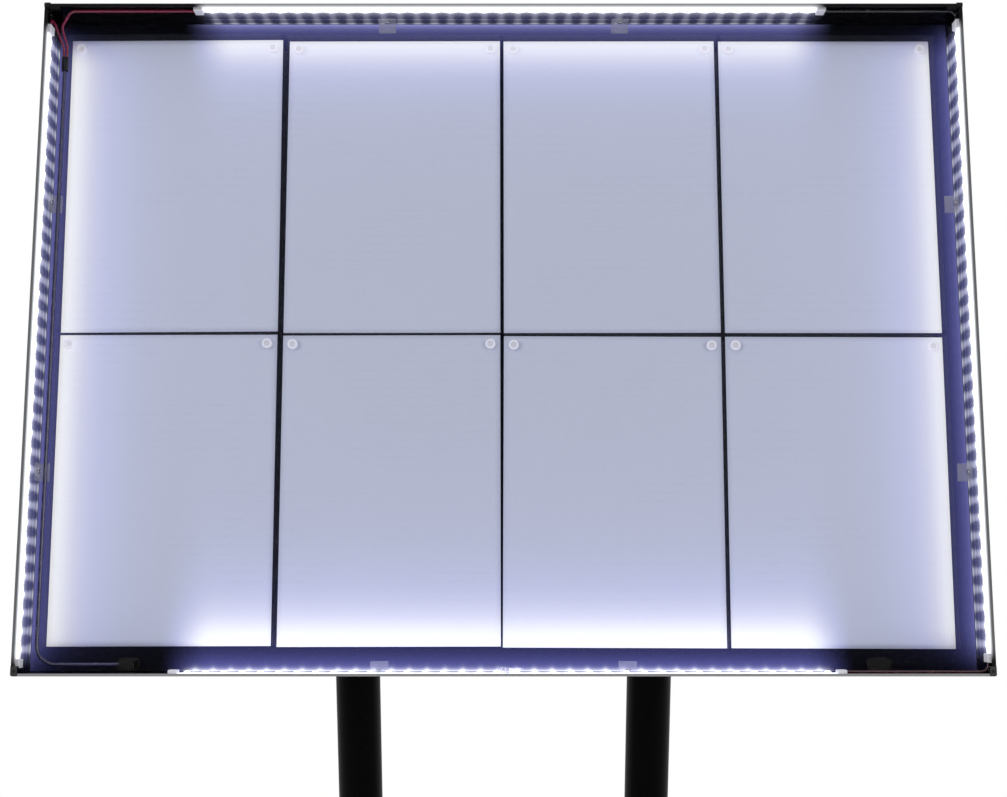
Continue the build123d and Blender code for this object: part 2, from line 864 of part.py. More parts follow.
def main():
    os.makedirs("parts", exist_ok=True)
    for name, wall in case_walls().items():
        save("case_" + name + "_wall", wall, case_place)
    save("back_panel", back_panel(), case_place)
    save("panel_clips", [on_wall(panel_clip(), w, a) for w, a in clip_spots()], case_place)
    save("clip_screws", [on_wall(clip_screw(), w, a) for w, a in clip_spots()], case_place)
    save("cable_entry", cable_entry(), case_place)
    save("blank_plug", entry_plug(entry_spread), case_place)

    caps = []
    chips = []
    for wall, along in strip_places().items():
        save("led_strip_" + wall, on_wall(led_strip(), wall, along), case_place)
        chips += [on_wall(chip, wall, along) for chip in led_chips()]
        caps += [on_wall(cap, wall, along) for cap in strip_caps()]
    save("led_chips", chips, case_place)
    save("strip_end_caps", caps, case_place)
    save("feed_cable", feed_cable(), case_place)
    save("feed_splice", feed_splice(), case_place)
    save("feed_wire", feed_wire(), case_place)
    save("left_link_wire", left_link_wire(), case_place)
    save("right_link_wire", right_link_wire(), case_place)
    save("bottom_link_wire", bottom_link_wire(), case_place)

    for n, place in enumerate(sheet_places()):
        save("info_sheet_" + str(n + 1), info_sheet(place), case_place)
    save("magnet_housings", [magnet_housing(x, z) for x, z in magnet_spots()], case_place)
    save("magnet_cores", [magnet_core(x, z) for x, z in magnet_spots()], case_place)

    save_pair("hinge_ear", hinge_ear(), case_place)
    save("hinge_pins", both_sides(hinge_pin()), case_place)
    rivet = ear_rivet(inner_side - ear_tail_thickness, side)
    save("ear_rivets", both_sides(rivet), case_place)
    save("door_seals", door_seals(), case_place)

    save("door_top_rail", door_top_rail(), case_place)
    save("door_bottom_rail", door_bottom_rail(), case_place)
    save_pair("door_rail", door_side_rail(), case_place)
    save("door_pane", door_pane(), case_place)
    save("door_hinge_blocks", both_sides(hinge_block()), case_place)
    save("door_corner_caps", both_sides(corner_cap()), case_place)
    save("cap_screws", both_sides(cap_screw()), case_place)
    save("lock_keeper", lock_keeper(), case_place)

    save("lock_housing", lock_housing(), case_place)
    save("lock_nut", lock_nut(), case_place)
    save("lock_plug", lock_plug(), case_place)
    save("lock_cam", lock_cam(), case_place)
    save("cam_screw", cam_screw(), case_place)

    save_pair("mounting_bar", mounting_bar(), case_place)
    save("bar_screws", [bar_screw(x, z) for x, z in bar_screw_spots()], case_place)
    save_pair("post", post())
    save_pair("foot_flange", foot_flange())
    save("foot_bolts", [foot_bolt(x, y) for x, y in foot_bolt_spots()])
    save("base_plate", base_plate())


main()
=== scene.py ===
import json
import math

import bmesh
import bpy
from bpy.props import FloatProperty, FloatVectorProperty, PointerProperty
from mathutils import Matrix, Vector, noise

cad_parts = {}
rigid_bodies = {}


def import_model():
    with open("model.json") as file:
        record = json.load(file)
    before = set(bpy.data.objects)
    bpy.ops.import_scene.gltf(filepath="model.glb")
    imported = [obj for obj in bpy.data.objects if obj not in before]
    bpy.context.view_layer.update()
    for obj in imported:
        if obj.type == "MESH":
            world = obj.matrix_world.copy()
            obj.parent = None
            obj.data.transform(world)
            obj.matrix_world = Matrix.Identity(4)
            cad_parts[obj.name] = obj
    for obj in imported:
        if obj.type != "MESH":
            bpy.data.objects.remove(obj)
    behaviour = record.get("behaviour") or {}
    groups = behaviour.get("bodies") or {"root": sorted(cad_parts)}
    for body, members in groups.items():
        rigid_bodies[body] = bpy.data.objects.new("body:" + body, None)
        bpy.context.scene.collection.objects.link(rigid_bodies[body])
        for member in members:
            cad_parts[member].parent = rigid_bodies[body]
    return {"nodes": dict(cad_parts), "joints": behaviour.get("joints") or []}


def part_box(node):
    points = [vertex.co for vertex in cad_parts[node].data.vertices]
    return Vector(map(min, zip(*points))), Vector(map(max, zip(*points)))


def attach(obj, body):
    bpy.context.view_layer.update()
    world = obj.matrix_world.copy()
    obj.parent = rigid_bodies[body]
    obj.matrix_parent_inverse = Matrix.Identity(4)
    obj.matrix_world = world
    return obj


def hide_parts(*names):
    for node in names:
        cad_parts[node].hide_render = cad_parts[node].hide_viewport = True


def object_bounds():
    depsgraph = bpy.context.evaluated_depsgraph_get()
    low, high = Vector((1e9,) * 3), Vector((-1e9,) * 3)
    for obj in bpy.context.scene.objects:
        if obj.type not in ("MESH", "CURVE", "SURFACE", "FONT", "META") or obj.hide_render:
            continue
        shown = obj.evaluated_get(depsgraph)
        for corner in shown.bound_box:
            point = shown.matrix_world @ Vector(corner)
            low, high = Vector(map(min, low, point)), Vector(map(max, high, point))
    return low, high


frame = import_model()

bl_info = {
    "name": "Information Display Case",
    "version": (1, 0, 0),
    "blender": (4, 5, 0),
    "location": "View3D > Sidebar > Display Case",
    "description": "Gives the lit display case its finishes and its fine pieces",
    "category": "Object",
}

SIDES = ("top", "bottom", "left", "right")
cad_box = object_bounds()

# Leaning frame of the case: X across, Y into its depth, Z up its height, from the middle of the panel
lock_axis = next(joint["axis"] for joint in frame["joints"] if joint["name"] == "lock_turn")
case_tilt = math.atan2(lock_axis[1], lock_axis[2])
case_middle = sum(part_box("back_panel"), Vector()) / 2
case_frame = Matrix.Translation(case_middle) @ Matrix.Rotation(-case_tilt, 4, "X")


def case_points(node_name):
    """Corners of a node, in the leaning frame of the case."""
    into_case = case_frame.inverted()
    return [into_case @ vertex.co for vertex in frame["nodes"][node_name].data.vertices]


def corners(points):
    """Lowest and highest corner around points."""
    low = Vector(min(point[axis] for point in points) for axis in range(3))
    high = Vector(max(point[axis] for point in points) for axis in range(3))
    return low, high


def case_box(node_name):
    """Lowest and highest corner of a node, in the leaning frame of the case."""
    return corners(case_points(node_name))


strip_boxes = {side: case_box("led_strip_" + side) for side in SIDES}
panel_front = case_box("back_panel")[0].y


def length(name, description, default):
    """A size that a user may change, in metres."""
    return FloatProperty(name=name, description=description, default=default, unit="LENGTH", precision=5)


def amount(name, description, default):
    """A plain number that a user may change."""
    return FloatProperty(name=name, description=description, default=default, precision=4)


def colour(name, description, default):
    """A colour that a user may change."""
    return FloatVectorProperty(
        name=name, description=description, default=default, subtype="COLOR", size=3, min=0.0, max=1.0
    )


class CaseColours(bpy.types.PropertyGroup):
    """Colours of the finishes"""

    case_black: colour("Case black", "Gloss powder coat of the walls", (0.0012, 0.0012, 0.0016))
    panel_black: colour("Panel black", "Satin coat of the magnetic panel", (0.0010, 0.0012, 0.0022))
    door_black: colour("Door black", "Coat of the door rails", (0.0012, 0.0012, 0.0016))
    # Painted reflection: a pale grey that stands in for the floor mirrored along the door's low edge
    floor_reflection_grey: colour("Floor reflection", "Painted reflection of the floor along the door's low edge", (0.26, 0.26, 0.27))
    stand_black: colour("Stand black", "Coat of the posts and the base", (0.0006, 0.0006, 0.0006))
    plastic_black: colour("Plastic black", "Corner caps, plugs and sleeve", (0.004, 0.004, 0.0045))
    rubber_black: colour("Rubber black", "Seals around the door", (0.015, 0.015, 0.015))
    # Painted shade: the white paper is given a dim lavender grey that stands in for the purple half-light
    # away from the strips
    paper: colour("Paper", "Sheets away from the lights", (0.47, 0.50, 0.63))
    print_ghost: colour("Print ghost", "Faint rows on the sheets", (0.40, 0.43, 0.55))
    strip_white: colour("Strip white", "Board of the light strips", (0.80, 0.82, 0.88))
    cap_white: colour("Cap white", "End caps of the light strips", (0.66, 0.66, 0.72))
    resistor_grey: colour("Resistor grey", "Resistors on the strips", (0.30, 0.30, 0.34))
    clip_clear: colour("Clip", "Clear moulded clips", (0.42, 0.43, 0.56))
    magnet_white: colour("Magnet white", "Magnet cups", (0.72, 0.72, 0.84))
    magnet_grey: colour("Magnet grey", "Magnet cores", (0.56, 0.56, 0.65))
    # Partly painted light: a dark jacket tinted purple to stand in for the strips' light falling on the
    # cable
    feed_dark_with_painted_light: colour("Feed dark with painted light", "Jacket of the supply cable", (0.030, 0.028, 0.085))
    wire_red: colour("Wire red", "Jacket of the red wires", (0.24, 0.010, 0.050))
    # Painted shade: a darker copy of the red wire, for the one lying in the unlit low corner
    wire_red_in_painted_shade: colour("Wire red in painted shade", "Jacket of the wire in the dark low corner", (0.045, 0.004, 0.010))
    wire_black: colour("Wire black", "Jacket of the black wire", (0.010, 0.010, 0.012))
    steel: colour("Steel", "Plated screws, pins and rivets", (0.45, 0.45, 0.46))
    lock_black: colour("Lock black", "Black plated lock body", (0.02, 0.02, 0.022))


class CaseLight(bpy.types.PropertyGroup):
    """How the light of the strips shows on the surfaces around them"""

    chip_pitch: length("Chip pitch", "From one light chip to the next", 0.05 / 3)
    chip_strength: amount("Chip strength", "Light given off by a chip", 2.2)
    end_fade: length("End fade", "How softly the light on the panel stops at the ends of a strip", 0.026)
    wall_fade: length("Wall fade", "How softly the light on the walls stops there", 0.007)
    sheet_reach: length("Sheet reach", "Distance at which the light on the sheets is halved", 0.024)
    sheet_reach_low: length("Sheet reach low", "The same above the bottom strip", 0.028)
    margin_reach: length("Margin reach", "Distance at which the light on the panel is halved", 0.014)
    margin_glow: colour("Margin glow", "Light on the bare panel beside a strip", (0.068, 0.070, 0.25))
    corner_reach: length("Corner reach", "The same for the bright seam along a wall", 0.0034)
    corner_glow: colour("Corner glow", "Light on the panel in the corner along a wall", (0.20, 0.20, 0.34))
    glare_rim: length("Glare rim", "Height of the white line above the bottom wall", 0.0010)
    glare_reach: length("Glare reach", "Distance over which the glare above that line fades", 0.0014)
    star_rise: length("Star rise", "Extra height of the line at each chip", 0.0013)
    wall_glow: colour("Wall glow", "Light on the walls away from a strip", (0.085, 0.088, 0.235))
    strip_glow: colour("Strip glow", "Light on the strips and close to them", (0.93, 0.95, 1.0))


class CaseSizes(bpy.types.PropertyGroup):
    """Sizes of the fine pieces"""

    edge_round: length("Edge round", "Softened edges of sheet metal", 0.0004)
    paper_thickness: length("Paper thickness", "Thickness of a sheet", 0.00015)
    paper_cockle: length("Paper cockle", "Waviness of a sheet", 0.0005)
    paper_lift: length("Paper lift", "How far the free lower corners stand off", 0.0012)
    chip_size: length("Chip size", "Side of a light chip", 0.005)
    chip_height: length("Chip height", "Height of a light chip", 0.0016)
    chip_edge: length("Chip edge", "Softened edges of a light chip", 0.00025)
    lens_radius: length("Lens radius", "Bright window of a light chip", 0.0019)
    lens_height: length("Lens height", "How far that window stands out", 0.0003)
    resistor_length: length("Resistor length", "Length of a resistor", 0.0016)
    resistor_width: length("Resistor width", "Width of a resistor", 0.0008)
    resistor_height: length("Resistor height", "Height of a resistor", 0.0005)
    resistor_edge: length("Resistor edge", "Softened edges of a resistor", 0.000075)
    resistor_setback: length("Resistor setback", "From the line of the chips back to a resistor", 0.00275)
    bolt_across: length("Bolt across", "Width of the foot bolts across flats", 0.013)
    bolt_height: length("Bolt height", "Head height of the foot bolts", 0.0053)
    washer_radius: length("Washer radius", "Flange under a foot bolt's head", 0.0078)
    screw_radius: length("Screw radius", "Head of a bar screw", 0.0044)
    screw_socket: length("Screw socket", "Socket in the head of a bar screw", 0.0018)
    weld_bead: length("Weld bead", "Radius of the weld beads on the posts", 0.0026)


class CaseStage(bpy.types.PropertyGroup):
    """Camera, floor and lamps"""

    lens: FloatProperty(name="Lens", description="Focal length", default=48.69, unit="CAMERA")
    sensor: FloatProperty(name="Sensor", description="Sensor width", default=36.0, unit="CAMERA")
    shift: amount("Shift", "Upward shift of the view", 0.0103)
    pitch: FloatProperty(
        name="Pitch",
        description="How far the camera looks down",
        default=math.radians(11.68),
        unit="ROTATION",
    )
    distance: length("Distance", "Camera in front of the origin", 1.2527)
    height: length("Height", "Camera above the floor", 1.3849)
    floor_radius: length("Floor radius", "Pale floor disc", 1.3)
    world_strength: amount("World strength", "Even light from all around", 0.55)
    key_power: FloatProperty(name="Key power", description="Large lamp", default=48.0, unit="POWER")
    key_size: length("Key size", "Side of the large lamp", 1.6)
    fill_power: FloatProperty(name="Fill power", description="Lamp on the right", default=26.0, unit="POWER")
    fill_size: length("Fill size", "Side of the lamp on the right", 1.4)


def add(tree, kind, feeds=None, **options):
    """Adds a node, sets its options and feeds its inputs with values or links."""
    made = tree.nodes.new("ShaderNode" + kind)
    for option, value in options.items():
        setattr(made, option, value)
    for socket, value in (feeds or {}).items():
        if isinstance(value, bpy.types.NodeSocket):
            tree.links.new(value, made.inputs[socket])
        else:
            made.inputs[socket].default_value = value
    return made


def calc(tree, operation, first, second=0.0):
    """One step of arithmetic."""
    return add(tree, "Math", {0: first, 1: second}, operation=operation).outputs[0]


def ease(tree, value, start, stop, low, high):
    """Smooth change from low to high while the value goes from start to stop."""
    feeds = {"Value": value, "From Min": start, "From Max": stop, "To Min": low, "To Max": high}
    return add(tree, "MapRange", feeds, interpolation_type="SMOOTHSTEP").outputs["Result"]


def tint(tree, strength, shade):
    """A colour times a strength."""
    scaled = add(tree, "VectorMath", {0: shade, "Scale": strength}, operation="SCALE")
    return scaled.outputs["Vector"]


def together(tree, first, second):
    """Sum of two lights."""
    return add(tree, "VectorMath", {0: first, 1: second}, operation="ADD").outputs["Vector"]


def rough_noise(tree, position, scale, detail=2.0, stretch=(1.0, 1.0, 1.0)):
    """Noise value at a scale, stretched along the axes."""
    place = add(tree, "Mapping", {"Vector": position, "Scale": stretch}).outputs["Vector"]
    return add(tree, "TexNoise", {"Vector": place, "Scale": scale, "Detail": detail}).outputs["Fac"]


def start_group(name, takes, gives):
    """New node group with named inputs and outputs: its tree, its start and its end."""
    tree = bpy.data.node_groups.new(name, "ShaderNodeTree")
    for label, kind in takes.items():
        tree.interface.new_socket(name=label, in_out="INPUT", socket_type="NodeSocket" + kind)
    for label, kind in gives.items():
        tree.interface.new_socket(name=label, in_out="OUTPUT", socket_type="NodeSocket" + kind)
    return tree, tree.nodes.new("NodeGroupInput").outputs, tree.nodes.new("NodeGroupOutput").inputs


def use_group(tree, name, feeds):
    """Places a node group and returns its outputs."""
    return add(tree, "Group", feeds, node_tree=bpy.data.node_groups[name]).outputs


def make_strip_row(light):
    """Where a strip is lit along its length, and the beat of its chips."""
    takes = {"Along": "Float", "Half Length": "Float", "Fade": "Float"}
    tree, start, end = start_group("strip_row", takes, {"Window": "Float", "Beat": "Float"})
    past = calc(tree, "SUBTRACT", calc(tree, "ABSOLUTE", start["Along"]), start["Half Length"])
    turns = calc(tree, "MULTIPLY", start["Along"], math.pi / light.chip_pitch)
    before = calc(tree, "MULTIPLY", start["Fade"], -1.0)
    tree.links.new(ease(tree, past, before, start["Fade"], 1.0, 0.0), end["Window"])
    tree.links.new(calc(tree, "ABSOLUTE", calc(tree, "SINE", turns)), end["Beat"])


def strip_row(tree, along, half, fade):
    """Places the group of a strip's row."""
    return use_group(tree, "strip_row", {"Along": along, "Half Length": half, "Fade": fade})


def make_fall_off():
    """Light that fades with the distance from a strip."""
    takes = {"Distance": "Float", "Rim": "Float", "Reach": "Float", "Strength": "Float"}
    tree, start, end = start_group("fall_off", takes, {"Light": "Float"})
    past = calc(tree, "MAXIMUM", calc(tree, "SUBTRACT", start["Distance"], start["Rim"]), 0.0)
    share = calc(tree, "POWER", calc(tree, "DIVIDE", past, start["Reach"]), 2.0)
    tree.links.new(calc(tree, "DIVIDE", start["Strength"], calc(tree, "ADD", share, 1.0)), end["Light"])


def strip_sides(tree, position):
    """Distance from each strip's wall, place along the strip and half its length."""
    axes = add(tree, "SeparateXYZ", {0: position}).outputs
    sides = {}
    for side, (low, high) in strip_boxes.items():
        middle = (low + high) / 2
        if side in ("left", "right"):
            along = calc(tree, "SUBTRACT", axes["Z"], middle.z)
            half = (high.z - low.z) / 2
        else:
            along = calc(tree, "SUBTRACT", axes["X"], middle.x)
            half = (high.x - low.x) / 2
        first, second = {
            "left": (axes["X"], low.x),
            "right": (high.x, axes["X"]),
            "top": (high.z, axes["Z"]),
            "bottom": (axes["Z"], low.z),
        }[side]
        sides[side] = (calc(tree, "SUBTRACT", first, second), along, half)
    return sides


# Start of the sheets from the walls, and strength of the light there and on the bare margin, by side
SHEET_RIM = {"left": 0.0136, "right": 0.0136, "top": 0.018, "bottom": 0.022}
SHEET_LIGHT = {"left": 1.0, "right": 1.0, "top": 0.80, "bottom": 1.05}
MARGIN_LIGHT = {"left": 1.05, "right": 1.05, "top": 1.0, "bottom": 1.5}
CORNER_LIGHT = {"left": 0.25, "right": 0.25, "top": 1.0, "bottom": 0.0}

# Light on each wall away from its strip
WALL_WASH = {"left": 1.0, "right": 1.0, "top": 0.45, "bottom": 6.0}

# How sharply the chips stand out, as stars over the bottom strip and as spikes on the walls
STAR_SHARPNESS = 6.0
SPIKE_SHARPNESS = 3.0

# Light on a wall, by distance from the middle of its strip: the white band and its scallops, the halo
# around the band, the dark domes between the rays of the chips, the wash, the seam along the panel and a
# thin mirrored line. Pairs are a start and an end, or a share between the chips and a share at a chip
BAND_EDGE = 0.0064
BAND_SCALLOP = 0.0022
BAND_SOFTNESS = 0.0013
HALO_START = 0.0097
HALO_FADE = 0.0040
HALO_SHARE = (0.15, 0.30)
HALO_LIMIT = 0.8
DOME_WIDTH = 0.98
DOME_MIDDLE = 0.0200
DOME_DEPTH = 0.0180
DOME_RIM = (0.60, 1.25)
RAY_FADE = 0.030
RAY_LIGHT = 0.50
WASH_START = 0.012
WASH_FADE = 0.025
WASH_SHARE = (0.85, 1.2)
SEAM_DEPTH = (0.0300, 0.0333)
SEAM_LIGHT = 0.42
SEAM_SHARE = (0.22, 1.0)
LINE_DEPTH = 0.0229
LINE_RIM = (0.0004, 0.0014)
LINE_LIGHT = 0.16

# Where a finish changes across an edge, as distances from the inner face of a wall or from the panel
WALL_FACE = (-0.0004, -0.0001)
PANEL_BEHIND = 0.0003
PANEL_SKIN = 0.0002
# Painted reflection: the band along the bottom rail's low edge that carries the floor's painted reflection
REFLECTION_RIM = (0.0006, 0.0012)
RAIL_FACE = (-0.0020, -0.0018)
RAIL_RISE = (0.0002, 0.0020)
BOARD_RIM = (0.002, 0.004)


def bottom_glare(tree, distance, along, half, light):
    """White line over the bottom strip, with a star at each chip."""
    row = strip_row(tree, along, half, light.wall_fade)
    star = calc(tree, "POWER", row["Beat"], STAR_SHARPNESS)
    rim = calc(tree, "ADD", calc(tree, "MULTIPLY", star, light.star_rise), light.glare_rim)
    past = calc(tree, "MAXIMUM", calc(tree, "SUBTRACT", distance, rim), 0.0)
    fade = calc(tree, "EXPONENT", calc(tree, "DIVIDE", past, -light.glare_reach))
    return calc(tree, "MULTIPLY", fade, row["Window"])


def make_edge_glow(light):
    """Light of the four strips on the sheets and on the bare margin of the panel."""
    parts = ("Sheet", "Margin", "Corner", "Glare")
    tree, start, end = start_group("edge_glow", {"Position": "Vector"}, dict.fromkeys(parts, "Float"))
    total = dict.fromkeys(parts, 0.0)
    for side, (distance, along, half) in strip_sides(tree, start["Position"]).items():
        row = strip_row(tree, along, half, light.end_fade)
        reach = light.sheet_reach_low if side == "bottom" else light.sheet_reach
        for part, rim, span, strength in (
            ("Sheet", SHEET_RIM[side], reach, SHEET_LIGHT[side]),
            ("Margin", 0.0, light.margin_reach, MARGIN_LIGHT[side]),
            ("Corner", 0.0, light.corner_reach, CORNER_LIGHT[side]),
        ):
            feeds = {"Distance": distance, "Rim": rim, "Reach": span, "Strength": strength}
            lit = use_group(tree, "fall_off", feeds)["Light"]
            total[part] = calc(tree, "ADD", total[part], calc(tree, "MULTIPLY", lit, row["Window"]))
        if side == "bottom":
            total["Glare"] = bottom_glare(tree, distance, along, half, light)
    for part, value in total.items():
        tree.links.new(value, end[part])


def fade_out(tree, away, start, reach):
    """Light that is full at a start and fades with the distance past it."""
    return calc(tree, "EXPONENT", calc(tree, "DIVIDE", calc(tree, "SUBTRACT", start, away), reach))


def make_wall_glow(light):
    """Light of a strip on its own wall, with dark domes between the rays of its chips."""
    takes = {"Along": "Float", "Depth": "Float", "Half Length": "Float", "Wash": "Float"}
    tree, start, end = start_group("wall_glow", takes, {"Light": "Color"})
    row = strip_row(tree, start["Along"], start["Half Length"], light.wall_fade)
    away = calc(tree, "ABSOLUTE", start["Depth"])
    spike = calc(tree, "POWER", row["Beat"], SPIKE_SHARPNESS)
    edge = calc(tree, "ADD", calc(tree, "MULTIPLY", spike, BAND_SCALLOP), BAND_EDGE)
    band = ease(tree, calc(tree, "SUBTRACT", away, edge), -BAND_SOFTNESS, BAND_SOFTNESS, 1.0, 0.0)
    near = fade_out(tree, away, HALO_START, HALO_FADE)
    halo = calc(tree, "MULTIPLY", near, ease(tree, spike, 0.0, 1.0, *HALO_SHARE))
    across = calc(tree, "POWER", calc(tree, "DIVIDE", row["Beat"], DOME_WIDTH), 2.0)
    inward = calc(tree, "DIVIDE", calc(tree, "SUBTRACT", away, DOME_MIDDLE), DOME_DEPTH)
    dome = calc(tree, "SQRT", calc(tree, "ADD", across, calc(tree, "POWER", inward, 2.0)))
    ray = calc(tree, "MULTIPLY", fade_out(tree, away, HALO_START, RAY_FADE), start["Wash"])
    ray = calc(tree, "MULTIPLY", ray, ease(tree, dome, *DOME_RIM, 0.0, RAY_LIGHT))
    far = calc(tree, "MULTIPLY", fade_out(tree, away, WASH_START, WASH_FADE), start["Wash"])
    wash = calc(tree, "MULTIPLY", far, ease(tree, spike, 0.0, 1.0, *WASH_SHARE))
    seam = ease(tree, start["Depth"], *SEAM_DEPTH, 0.0, SEAM_LIGHT)
    seam = calc(tree, "MULTIPLY", seam, ease(tree, spike, 0.0, 1.0, *SEAM_SHARE))
    line = calc(tree, "ABSOLUTE", calc(tree, "SUBTRACT", start["Depth"], LINE_DEPTH))
    line = calc(tree, "MULTIPLY", ease(tree, line, *LINE_RIM, LINE_LIGHT, 0.0), row["Beat"])
    white = calc(tree, "MAXIMUM", band, calc(tree, "MINIMUM", halo, HALO_LIMIT))
    white = calc(tree, "MAXIMUM", white, ray)
    white = calc(tree, "ADD", white, calc(tree, "ADD", seam, line))
    glow = together(tree, tint(tree, wash, light.wall_glow), tint(tree, white, light.strip_glow))
    tree.links.new(tint(tree, row["Window"], glow), end["Light"])


# Fineness of the noises in the finishes, in waves per metre
PEEL_SCALE = 850.0
COAT_CLOUD_SCALE = 14.0
DUST_SCALE = 420.0
MARK_SCALE = 600.0
PATCH_SCALE = 90.0
GRAIN_SCALE = 1500.0
MOULD_CLOUD_SCALE = 60.0
FIBRE_SCALE = 900.0
PAPER_CLOUD_SCALE = 9.0
WORD_SCALE = 60.0
TEXT_BLOCK_SCALE = 11.0
WEAVE_SCALE = 700.0
LAMP_CELL_SCALE = 1800.0
SMEAR_SCALE = 12.0
JACKET_WAVE_SCALE = 120.0
FLOOR_CLOUD_SCALE = 3.0

# Stretch of the noises along the axes
MARK_STRETCH = (1.0, 1.0, 6.0)
WORD_STRETCH = (1.0, 1.0, 2.0)
TEXT_BLOCK_STRETCH = (0.6, 1.0, 1.6)
SMEAR_STRETCH = (1.0, 1.0, 0.3)

# Where the noises start and stop to show, and what they give there
DUST_SHOWS = (0.70, 0.80)
DUST_PALE = 0.010
GRAIN_SHADE = (0.3, 0.7, 0.92, 1.0)
WORD_SHOWS = (0.44, 0.50)
TEXT_BLOCK_SHOWS = (0.46, 0.60, 0.0, 0.22)
LAMP_CELL_LIGHT = (0.2, 0.8, 0.85, 1.0)
SMEAR_ROUGHNESS = (0.35, 0.75, 0.01, 0.05)
JACKET_ROUGHNESS = (0.3, 0.7, 0.16, 0.28)

# Rows on the sheets: half their spacing, and where a row ends
ROW_HALF = 0.0042
ROW_RIM = (0.0010, 0.0016)

# Relief of each finish, as a strength and a depth
COAT_RELIEF = (0.12, 0.0003)
MOULD_RELIEF = (0.10, 0.0002)
METAL_RELIEF = (0.15, 0.0002)
PAPER_RELIEF = (0.25, 0.0004)
BOARD_RELIEF = (0.1, 0.0002)
JACKET_RELIEF = (0.2, 0.0005)

# Share of a colour that is left in its deeper patches
MOULD_DEEP = 0.82
METAL_DEEP = 0.75
PAPER_DEEP = 0.965
BOARD_DEEP = 0.9
JACKET_DEEP = 0.7

# Share of the clouds in the deeper patches of the paper, and their height in its relief
PAPER_CLOUD_SHARE = 0.5
PAPER_CLOUD_RELIEF = 4.0

# Smoothest and dullest roughness and specular level of each painted or moulded finish
GLOSS = {
    "wall": (0.16, 0.26, 0.10),
    "panel": (0.34, 0.46, 0.02),
    "ear": (0.2, 0.3, 0.15),
    "entry": (0.4, 0.55, 0.10),
    "seal": (0.6, 0.75, 0.2),
    "splice": (0.35, 0.5, 0.15),
    "rail": (0.25, 0.36, 0.08),
    "hinge": (0.25, 0.36, 0.1),
    "corner": (0.25, 0.4, 0.4),
    "keeper": (0.08, 0.14, 0.5),
    "lock": (0.2, 0.3, 0.4),
    "stand": (0.34, 0.46, 0.025),
    "clip": (0.10, 0.2, 0.4),
    "cap": (0.45, 0.6, 0.4),
    "resistor": (0.3, 0.4, 0.4),
    "magnet cup": (0.2, 0.3, 0.4),
    "magnet core": (0.3, 0.45, 0.4),
}

# Smoothest and dullest roughness of each plated finish
PLATING = {"pin": (0.25, 0.4), "cap screw": (0.3, 0.45), "lock": (0.22, 0.36), "screw": (0.28, 0.42)}

# Share of the strips' light on pale plastic, and its colour there
LIT_SHARE = {"clip": 0.30, "cap": 0.4, "resistor": 0.8, "magnet cup": 0.55, "magnet core": 0.5}
LIT_COLOUR = (0.52, 0.50, 0.50)

# How solid the clear plastics look
CLIP_ALPHA = 0.26
KEEPER_ALPHA = 0.35

# Light of the strips on the paper, from none to full
PAPER_LIGHT = (
    (0.0, (0.0, 0.0, 0.0)),
    (0.22, (0.075, 0.075, 0.17)),
    (0.5, (0.25, 0.235, 0.29)),
    (0.75, (0.43, 0.42, 0.42)),
    (1.0, (0.58, 0.57, 0.52)),
)

# Even light on the boards of the strips, and the extra at each chip
BOARD_LIGHT = 0.65
BOARD_BEAT = 0.3


def start_skin(name, extra):
    """New group for a skin whose roughness goes from smooth to dull."""
    takes = {"Position": "Vector", "Smooth": "Float", "Dull": "Float"}
    return start_group(name, takes, {"Roughness": "Float", "Height": "Float", extra: "Float"})


def end_skin(tree, start, end, mask, height):
    """Feeds the roughness and the relief of a skin."""
    mix = add(tree, "Mix", {"Factor": mask, "A": start["Smooth"], "B": start["Dull"]})
    tree.links.new(mix.outputs["Result"], end["Roughness"])
    tree.links.new(height, end["Height"])


def make_paint_skin():
    """Fine orange peel, faint wear and dust of a powder coat."""
    tree, start, end = start_skin("paint_skin", "Dust")
    peel = rough_noise(tree, start["Position"], PEEL_SCALE)
    cloud = rough_noise(tree, start["Position"], COAT_CLOUD_SCALE, detail=4.0)
    speck = rough_noise(tree, start["Position"], DUST_SCALE, detail=1.0)
    dust = ease(tree, speck, *DUST_SHOWS, 0.0, 1.0)
    end_skin(tree, start, end, cloud, peel)
    tree.links.new(calc(tree, "MULTIPLY", dust, cloud), end["Dust"])


def make_metal_skin():
    """Fine turning marks and patches of a plated metal."""
    tree, start, end = start_skin("metal_skin", "Patch")
    marks = rough_noise(tree, start["Position"], MARK_SCALE, detail=3.0, stretch=MARK_STRETCH)
    patch = rough_noise(tree, start["Position"], PATCH_SCALE, detail=3.0)
    end_skin(tree, start, end, patch, marks)
    tree.links.new(patch, end["Patch"])


def make_plastic_skin():
    """Spark-eroded grain of moulded plastic."""
    tree, start, end = start_skin("plastic_skin", "Shade")
    grain = rough_noise(tree, start["Position"], GRAIN_SCALE, detail=2.0)
    cloud = rough_noise(tree, start["Position"], MOULD_CLOUD_SCALE, detail=3.0)
    end_skin(tree, start, end, cloud, grain)
    tree.links.new(ease(tree, cloud, *GRAIN_SHADE), end["Shade"])


def fresh_tree(owner):
    """Empty node tree of a material or a world."""
    owner.use_nodes = True
    owner.node_tree.nodes.clear()
    return owner.node_tree


def start_finish(name, **sockets):
    """New material with a plain shader whose constant sockets are set."""
    material = bpy.data.materials.new(name)
    tree = fresh_tree(material)
    shader = add(tree, "BsdfPrincipled")
    for socket, value in sockets.items():
        shader.inputs[socket.replace("_", " ")].default_value = value
    output = add(tree, "OutputMaterial")
    tree.links.new(shader.outputs["BSDF"], output.inputs["Surface"])
    return material, tree, shader.inputs


def object_place(tree):
    """Position on the piece, in metres."""
    return add(tree, "TexCoord").outputs["Object"]


def case_place(tree):
    """Position in the leaning frame of the case."""
    feeds = {"Vector": object_place(tree), "Location": case_middle, "Rotation": (-case_tilt, 0.0, 0.0)}
    return add(tree, "Mapping", feeds, vector_type="TEXTURE").outputs["Vector"]


